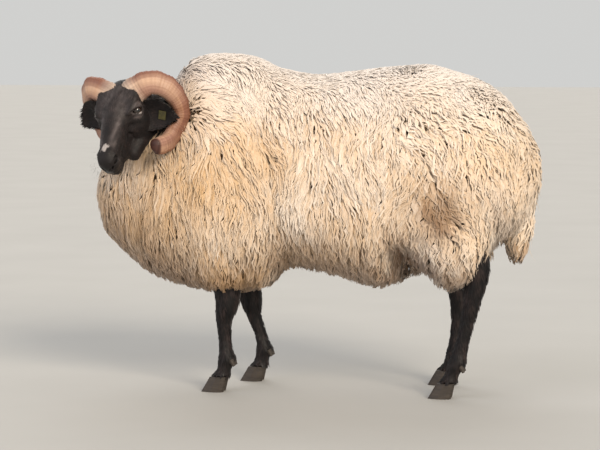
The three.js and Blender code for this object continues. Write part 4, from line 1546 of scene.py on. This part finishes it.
    def build(self) -> list[Object]:
        """Grows the whole fleece."""
        points, quads = surface(BODY.flesh, BODY.low, BODY.high, 14.0)
        faces = np.concatenate([quads[:, :3], quads[:, [0, 2, 3]]])
        material = WoolFinish().material()
        pieces = []
        for index, layer in enumerate(self.layers):
            rng = np.random.default_rng(SEED + index)
            roots = self.rooted(points, faces, layer.count, rng)
            for region, chosen in self.regions(roots).items():
                if chosen.sum() < 4:
                    continue
                name = f"wool_{layer.name}_{region}"
                strands = self.strands(roots[chosen], layer, rng)
                pieces.append(add_piece(strands.mesh(name), material))
                LOG.info("%s: %d strands, %d faces", name, chosen.sum(), len(pieces[-1].data.polygons))
        pieces.append(self.fuzz(points, faces, material))
        return pieces

    def fuzz(self, points: Array, faces: Array, material: Material) -> Object:
        """Loose fibres that stand a little off the locks and soften the outline."""
        rng = np.random.default_rng(SEED + 9)
        roots = self.rooted(points, faces, self.loose, rng)
        n, place = unit(slope(BODY.coat, roots)), self.place(roots)
        roots = roots - n * (BODY.coat(roots) + 3)[:, None]
        ways = self.lie(roots, n) + 0.3 * n + 0.22 * rng.normal(size=roots.shape)
        hairs = Hairs("wool_fuzz", length=0.027, thickness=0.014, bend=0.3, steps=4)
        return hairs.grow(roots, ways, place, material, "fleece")


# ------------------------------------------------------------------ short hair


@dataclass(frozen=True)
class ShortHair:
    """Short black tufts on the face, ears and legs.

    Attributes:
        face_count: tufts of the face and ears.
        leg_count: tufts of the legs.
        nose: how far from the poll the bare end of the nose begins.
        rim: how wide the bare rim of an eye is.
        lashes_each: lashes of an eye.
        whiskers_each: single hairs on each side of the muzzle.
    """

    face_count: int = 13000
    leg_count: int = 7000
    nose: float = 205
    rim: float = 2.6
    lashes_each: int = 26
    whiskers_each: int = 34

    def tufts(
        self, roots: Array, n: Array, way: Array, length: Array, lift: Array, width: float,
        rng: np.random.Generator,
    ) -> Strands:
        """Small flat tufts that lie along the hide.

        Args:
            roots: places on the hide.
            n: the way the hide faces there.
            way: the way each tuft lies.
            length: how long each is.
            lift: how far its tip stands off the hide, over its length.
            width: half its width.
            rng: the random source.

        Returns:
            The tufts.
        """
        count = len(roots)
        s = np.array([0.0, 0.5, 1.0])
        way = tangent(way + 0.15 * rng.normal(size=(count, 3)), n)
        rise = np.stack([np.full(count, -1.0), 0.75 * lift * length, lift * length], 1)
        path = roots[:, None] + way[:, None] * (s * length[:, None])[..., None]
        path = path + n[:, None] * rise[..., None]
        across = np.repeat(unit(np.cross(way, n))[:, None], 3, 1)
        out = np.repeat(n[:, None], 3, 1)
        wide = width * rng.uniform(0.7, 1.3, count)[:, None] * np.array([1.0, 0.8, 0.05])
        tone = np.clip(rng.uniform(0, 0.5, count) + 0.45 * wobble(roots, 14, 31)[:, 0], 0, 1)
        place = unrolled(roots[:, 2], np.arctan2(n[:, 1], n[:, 0]) + 0.3 * roots[:, 0] / MM)
        # The grey and pale numbers carry painted sheen and painted lid highlights as well as real markings.
        values = {"tone": tone, "grey": grey(roots), "pale": pale(roots)}
        values = {key: value[:, None] * np.ones((1, 3)) for key, value in values.items()}
        return Strands(path, across, out, wide, wide * 0.5, values, place, out)

    def build(self, skin: Mesh, material: Material) -> list[Object]:
        """Grows the tufts from the skin."""
        rng = np.random.default_rng(SEED + 5)
        points, faces = points_of(skin), triangles(skin)
        middles = points[faces].mean(1)
        a, b, c = (points[faces[:, k]] for k in range(3))
        raw = np.cross(b - a, c - a)
        normals, area = unit(raw), np.linalg.norm(raw, axis=1)
        wool = BODY.fleece(middles)
        on_face = (HEAD.world_outline(middles) < 6) & (wool > -10) | (self.ear_amount(middles) > 0)
        on_leg = (BODY.leg_outline(middles) < 2) & (wool > -26) & (middles[:, 2] > 38) & ~on_face
        pieces = []
        for name, chosen, count, grow in (
            ("hair_face", on_face, self.face_count, self.face),
            ("hair_legs", on_leg, self.leg_count, self.legs),
        ):
            pick = rng.choice(chosen.sum(), count, p=area[chosen] / area[chosen].sum())
            weight = rng.dirichlet((1, 1, 1), count)
            roots = np.einsum("ij,ijk->ik", weight, points[faces[chosen][pick]])
            strands = grow(roots, normals[chosen][pick], rng)
            pieces.append(add_piece(strands.mesh(name), material))
            LOG.info("%s: %d tufts", name, len(strands.path))
        return pieces

    def legs(self, roots: Array, n: Array, rng: np.random.Generator) -> Strands:
        """Tufts of the legs, all lying down toward the claws."""
        count = len(roots)
        length = rng.uniform(13, 20, count) * (0.6 + 0.4 * ease(60, 200, roots[:, 2]))
        way = np.tile([0.1, 0.0, -1.0], (count, 1))
        return self.tufts(roots, n, way, length, rng.uniform(0.05, 0.22, count), 1.9, rng)

    def face(self, roots: Array, n: Array, rng: np.random.Generator) -> Strands:
        """Tufts of the face, from the nose up over the brow and back along the cheeks and ears."""
        q = HEAD.pose.local(roots)
        left = np.stack([q[:, 0], np.abs(q[:, 1]), q[:, 2]], 1)
        clear = np.linalg.norm(left - np.array(HEAD.eye), axis=1) >= HEAD.eye_radius + self.rim
        clear &= q[:, 0] <= self.nose
        roots, n, q = roots[clear], n[clear], q[clear]
        ear = self.ear_amount(roots) > 0
        flow = np.tile([-1.0, 0.0, -0.1], (len(q), 1))
        flow[:, 2] -= 0.5 * ease(-30, -80, q[:, 2])
        flow[:, 1] += 0.5 * np.tanh(q[:, 1] / 20)
        way = HEAD.pose.turn(flow)
        side = np.sign(HEAD.level.local(roots)[:, 1])
        along_ear = HEAD.level.turn(np.stack([np.full(len(q), -0.25), side, np.full(len(q), -0.3)], 1))
        way[ear] = along_ear[ear]
        length = np.where(ear, 10, 4.5 + 4.5 * ease(200, 20, q[:, 0])) * rng.uniform(0.8, 1.2, len(q))
        return self.tufts(roots, n, way, length, rng.uniform(0.02, 0.1, len(q)) + 0.08 * ear, 1.0, rng)

    def ear_amount(self, p: Array) -> Array:
        """Positive near an ear's leaf."""
        return -rod(Ear.root, Ear.tip, 46, 34)(HEAD.beside(p)) * (HEAD.world_outline(p) > 2)

    def lashes(self, material: Material) -> Object:
        """Lashes on the upper lids, and long single hairs about the muzzle."""
        rng = np.random.default_rng(SEED + 8)
        out, ahead, up = HEAD.gaze()
        turn = np.linspace(-1.0, 1.0, self.lashes_each)
        rim = unit(out + up * (0.66 - 0.36 * turn**2)[:, None] + ahead * (1.2 * turn)[:, None])
        rim = np.array(HEAD.eye) + (HEAD.eye_radius + 1.2) * rim
        away = out + 0.35 * up - 0.25 * ahead + 0.4 * turn[:, None] * ahead
        muzzle = ((168, 214), (10, 30), (-86, -34))
        chin = np.stack([rng.uniform(low, high, self.whiskers_each) for low, high in muzzle], 1)
        chin = chin - slope(HEAD.outline, chin) * (HEAD.outline(chin) + 2)[:, None]
        droop = slope(HEAD.outline, chin) + np.array([0.2, 0.0, -0.5]) + 0.3 * rng.normal(size=chin.shape)
        both = np.array([[[1, 1, 1]], [[1, -1, 1]]])
        roots = (np.concatenate([rim, chin]) * both).reshape(-1, 3)
        ways = (np.concatenate([away, droop]) * both).reshape(-1, 3)
        place = np.stack([np.linspace(0, 1, len(roots)), np.full(len(roots), 0.5)], 1)
        hairs = Hairs("hair_lashes", length=0.016, thickness=0.012, bend=0.25, steps=6)
        return hairs.grow(HEAD.pose.world(roots), HEAD.pose.turn(ways), place, material, "black_hair")


# ------------------------------------------------------------------ horns, eyes, feet, tag


def mirror(side: str) -> Array:
    """Takes a place on the left to its own side."""
    return np.array([1, 1 if side == "left" else -1, 1])


@dataclass(frozen=True)
class Horn:
    """One horn: out of the poll, back, down behind the ear and forward to the jaw.

    Attributes:
        side: left or right.
        line: places that the curl runs through, on the axes of horns and ears.
        root_height: half the section's height at the skull.
        root_depth: half its depth there.
        tip_height: half its height at the tip.
        tip_depth: half its depth there.
        flare: how much higher the section is where the horn leaves the skull.
        slim: how much slimmer it is past half of the curl.
        worn: where along the curl the worn end begins.
        rings: growth ridges.
        small_rings: finer rings between them.
        steps: sections along the curl.
        sides: sides of a section.
    """

    side: str
    line: tuple
    root_height: float = 30.0
    root_depth: float = 22.0
    tip_height: float = 20.0
    tip_depth: float = 16.0
    flare: float = 0.18
    slim: float = 0.13
    worn: float = 0.955
    rings: float = 12.0
    small_rings: float = 46.0
    steps: int = 260
    sides: int = 40

    @property
    def knots(self) -> Array:
        """The places that the curl runs through."""
        return np.array(self.line, float) * mirror(self.side)

    def curve(self, count: int) -> Array:
        """Even points along the curl."""
        knots = self.knots
        gap = np.sqrt(np.linalg.norm(np.diff(knots, axis=0), axis=1))
        first, last = 2 * knots[0] - knots[1], 2 * knots[-1] - knots[-2]
        knots = np.vstack([first, knots, last])
        gap = np.concatenate([[gap[0]], gap, [gap[-1]]])
        t = np.linspace(0, 1, 40, endpoint=False)[:, None]
        fine = []
        for i in range(1, len(knots) - 2):
            p0, p1, p2, p3 = knots[i - 1 : i + 3]
            d0, d1, d2 = gap[i - 1 : i + 2]
            m1 = ((p1 - p0) / d0 - (p2 - p0) / (d0 + d1) + (p2 - p1) / d1) * d1
            m2 = ((p2 - p1) / d1 - (p3 - p1) / (d1 + d2) + (p3 - p2) / d2) * d1
            fine.append(hermite(t, p1, p2, m1, m2))
        fine = np.vstack([*fine, knots[-2]])
        run = np.concatenate([[0], np.cumsum(np.linalg.norm(np.diff(fine, axis=0), axis=1))])
        return np.stack([np.interp(np.linspace(0, run[-1], count), run, fine[:, k]) for k in range(3)], 1)

    def relief(self, t: Array) -> Array:
        """Growth ridges and finer rings along the curl."""
        rng = np.random.default_rng(SEED + mirror(self.side)[1])
        drift = np.cumsum(rng.normal(size=self.steps))
        small = np.sin(2 * np.pi * (self.small_rings * t + 0.03 * drift))
        return 0.9 * np.cos(2 * np.pi * self.rings * t) + 0.45 * small

    def build(self) -> Mesh:
        """Sweeps the section along the curl, with ridges and a worn, rounded end."""
        t = np.linspace(0, 1, self.steps)
        here = self.curve(self.steps)
        way = unit(np.gradient(here, axis=0))
        out = here - self.knots.mean(0)
        out = unit(out - way * dot(out, way)[:, None])
        flank = np.cross(way, out)
        end = np.sqrt(np.clip(1 - ((t - self.worn) / 0.045).clip(0) ** 2 * 0.86, 0.02, 1))
        root = np.exp(-((t / 0.13) ** 2))
        slim = 1 - self.slim * np.exp(-(((t - 0.6) / 0.17) ** 2))
        tall = (self.root_height + (self.tip_height - self.root_height) * t) * end
        tall = tall * (1 + self.flare * root) * slim
        deep = (self.root_depth + (self.tip_depth - self.root_depth) * t) * end * slim
        here = here + out * (5 * root)[:, None]
        angle = np.linspace(0, 2 * np.pi, self.sides, endpoint=False)
        # The crest is keeled, the inner side flatter, so that the section is three-cornered.
        shape = 1 + 0.08 * np.cos(3 * angle)
        ridge = self.relief(t)[:, None] * (0.6 + 0.4 * np.cos(angle))[None] - 0.3
        a = (tall[:, None] * shape * np.cos(angle) + ridge * np.cos(angle))[..., None]
        b = (deep[:, None] * shape * np.sin(angle) + ridge * np.sin(angle))[..., None]
        points = (here[:, None] + a * out[:, None] + b * flank[:, None]).reshape(-1, 3)
        faces = tube_faces(self.steps, self.sides)
        mesh = make_mesh("horn_sheath_" + self.side, HEAD.level.world(points), faces)
        across = np.tile(np.abs(np.linspace(-1, 1, self.sides)), self.steps)
        add_map(mesh, "Growth", np.stack([across, np.repeat(t, self.sides)], 1)[corners(mesh)])
        return mesh

    def dress(self, mesh: Mesh, material: Material) -> Object:
        """Puts the horn in place of its plain solid."""
        piece = add_piece(mesh, material)
        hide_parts("horn_" + self.side)
        return piece


HORN_LINES = {
    "left": (
        (-16, 24, -46), (-14, 48, -24), (-16, 76, -12), (-34, 104, -22), (-60, 119, -54),
        (-72, 120, -90), (-58, 106, -126), (-35, 101, -146), (-8, 95, -154), (18, 89, -158),
    ),
    "right": (
        (-16, 24, -46), (-14, 48, -24), (-18, 74, -13), (-36, 96, -26), (-58, 106, -54),
        (-66, 100, -84), (-58, 84, -110), (-44, 65, -128), (-26, 52, -140), (-8, 47, -147),
    ),
}


@dataclass(frozen=True)
class Eye:
    """One eyeball with a slightly raised cornea, `bulge` of its radius high."""

    side: str
    bulge: float = 0.06
    rows: int = 48
    columns: int = 64

    def build(self) -> Mesh:
        """The ball, with its poles along the gaze."""
        out, ahead, up = HEAD.gaze()
        polar = np.linspace(0.02, np.pi - 0.02, self.rows)
        turn = np.linspace(0, 2 * np.pi, self.columns, endpoint=False)
        cornea = 1 + self.bulge * np.exp(-((polar / 0.55) ** 4))
        radius = (HEAD.eye_radius - 0.2) * cornea
        u = np.sin(polar)[:, None] * np.cos(turn)
        v = np.sin(polar)[:, None] * np.sin(turn)
        w = np.cos(polar)[:, None] * np.ones_like(turn)
        local = radius[:, None, None] * (u[..., None] * ahead + v[..., None] * up + w[..., None] * out)
        local = (local.reshape(-1, 3) + np.array(HEAD.eye)) * mirror(self.side)
        faces = tube_faces(self.rows, self.columns)
        mesh = make_mesh("eyeball_" + self.side, HEAD.pose.world(local), faces)
        # The back of the ball is moved off the map's middle, so that only its front has iris and pupil.
        flat = np.stack([u.ravel(), v.ravel()], 1) + (w.ravel() < 0)[:, None] * 2.0
        add_map(mesh, "Gaze", flat[corners(mesh)])
        return mesh

    def dress(self, mesh: Mesh, material: Material) -> Object:
        """Puts the eyeball in place of its plain solid."""
        piece = add_piece(mesh, material)
        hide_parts("eye_" + self.side)
        return piece


def dress_nodes(names: list[str], material: Material) -> None:
    """Gives carried-over nodes of the frame a better material."""
    for name in names:
        for slot in bpy.data.objects[name].material_slots:
            slot.material = material


# ------------------------------------------------------------------ studio


@dataclass(frozen=True)
class Studio:
    """A plain pale floor, soft light, and the camera.

    Attributes:
        azimuth: how far the camera stands round toward the tail, in degrees.
        distance: how far it stands from what it looks at, in metres.
        height: how high it stands, in metres.
        aim: what it looks at, in metres on the sheep's own axes.
        focal: its focal length over its frame's width.
        lamps: each lamp's name, place, angle, strength and colour.
        air: colour and strength of the light from all round.
        paper: the floor's two tones.
        reach: how far the floor runs to each side, in metres.
    """

    azimuth: float = 10.0
    distance: float = 5.5
    height: float = 0.85
    aim: tuple = (-0.043, 0.0, 0.39)
    focal: float = 3.85
    lamps: tuple = (
        ("key", (2.9, -4.0, 3.1), 0.4, 2.75, "#fff3e0"),
        ("fill", (-3.6, -3.2, 2.2), 1.0, 0.75, "#f4f3ff"),
        ("back", (-0.8, 3.0, 3.2), 0.8, 1.0, "#ffffff"),
    )
    air: tuple = ("#e6e6e4", 0.8)
    paper: tuple = ("#aeaca8", "#b7b5b1")
    reach: float = 30.0

    def floor(self) -> None:
        """A wide flat floor."""
        ends = (-self.reach, self.reach)
        points = [(x, y, 0) for y in ends for x in ends]
        mesh = bpy.data.meshes.new("studio_floor")
        mesh.from_pydata(points, [], [(0, 1, 3, 2)])
        m = Blank("pale_studio_paper", 0.9)
        m.colour(mixed(m.tree, m.cloud(400), *map(linear, self.paper)))
        mesh.materials.append(m.material)
        floor = add_object("studio_floor", mesh)

    def light(self, name: str, at: tuple, angle: float, strength: float, colour: str) -> None:
        """One broad far lamp that lights sheep and floor alike."""
        lamp = bpy.data.lights.new(name, "SUN")
        lamp.angle, lamp.energy, lamp.color = angle, strength, linear(colour)[:3]
        rig = add_object(name, lamp)
        rig.location = at
        rig.rotation_euler = (Vector((0, 0, 0.45)) - Vector(at)).to_track_quat("-Z", "Y").to_euler()

    def camera(self) -> None:
        """The camera, a little above the back and a little behind the middle."""
        turn = math.radians(self.azimuth)
        low = math.asin((self.height - self.aim[2]) / self.distance)
        away = Vector((math.sin(turn) * math.cos(low), -math.cos(turn) * math.cos(low), math.sin(low)))
        data = bpy.data.cameras.new("camera")
        data.sensor_width = 36.0
        data.lens = self.focal * data.sensor_width
        rig = add_object("camera", data)
        rig.location = Vector(self.aim) + Vector(SHIFT) / MM + away * self.distance
        rig.rotation_euler = (-away).to_track_quat("-Z", "Y").to_euler()
        bpy.context.scene.camera = rig

    def build(self) -> None:
        """Sets the whole studio."""
        self.floor()
        self.camera()
        for lamp in self.lamps:
            self.light(*lamp)
        world = bpy.data.worlds.new("studio_air")
        world.use_nodes = True
        air = world.node_tree.nodes["Background"]
        colour, strength = self.air
        air.inputs["Color"].default_value = linear(colour)
        air.inputs["Strength"].default_value = strength
        bpy.context.scene.world = world
        bpy.context.scene.view_settings.view_transform = "Standard"


# ------------------------------------------------------------------ assembly


def main() -> None:
    """Builds every piece in order."""
    logging.basicConfig(level=logging.INFO, format="%(message)s", stream=sys.stdout)
    Studio().build()
    LOG.info("studio set")
    skin = Skin()
    hide = skin.build()
    LOG.info("skin: %d faces", len(hide.polygons))
    hide = skin.dress(hide)
    short, hair = ShortHair(), HairFinish().material()
    short.build(hide.data, hair)
    short.lashes(hair)
    Fleece().build()
    keratin = HornFinish().material()
    for side, line in HORN_LINES.items():
        horn = Horn(side, line)
        horn.dress(horn.build(), keratin)
        LOG.info("horn %s", side)
    wet_eye = EyeFinish().material()
    for side in ("left", "right"):
        eye = Eye(side)
        eye.dress(eye.build(), wet_eye)
        LOG.info("eye %s", side)
    claws = [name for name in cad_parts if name.startswith(("hoof", "dewclaw"))]
    dress_nodes(claws, HoofFinish().material())
    dress_nodes(["ear_tag"], TagFinish().material())
    LOG.info("claws and tag dressed")


if __name__ == "__main__":
    main()
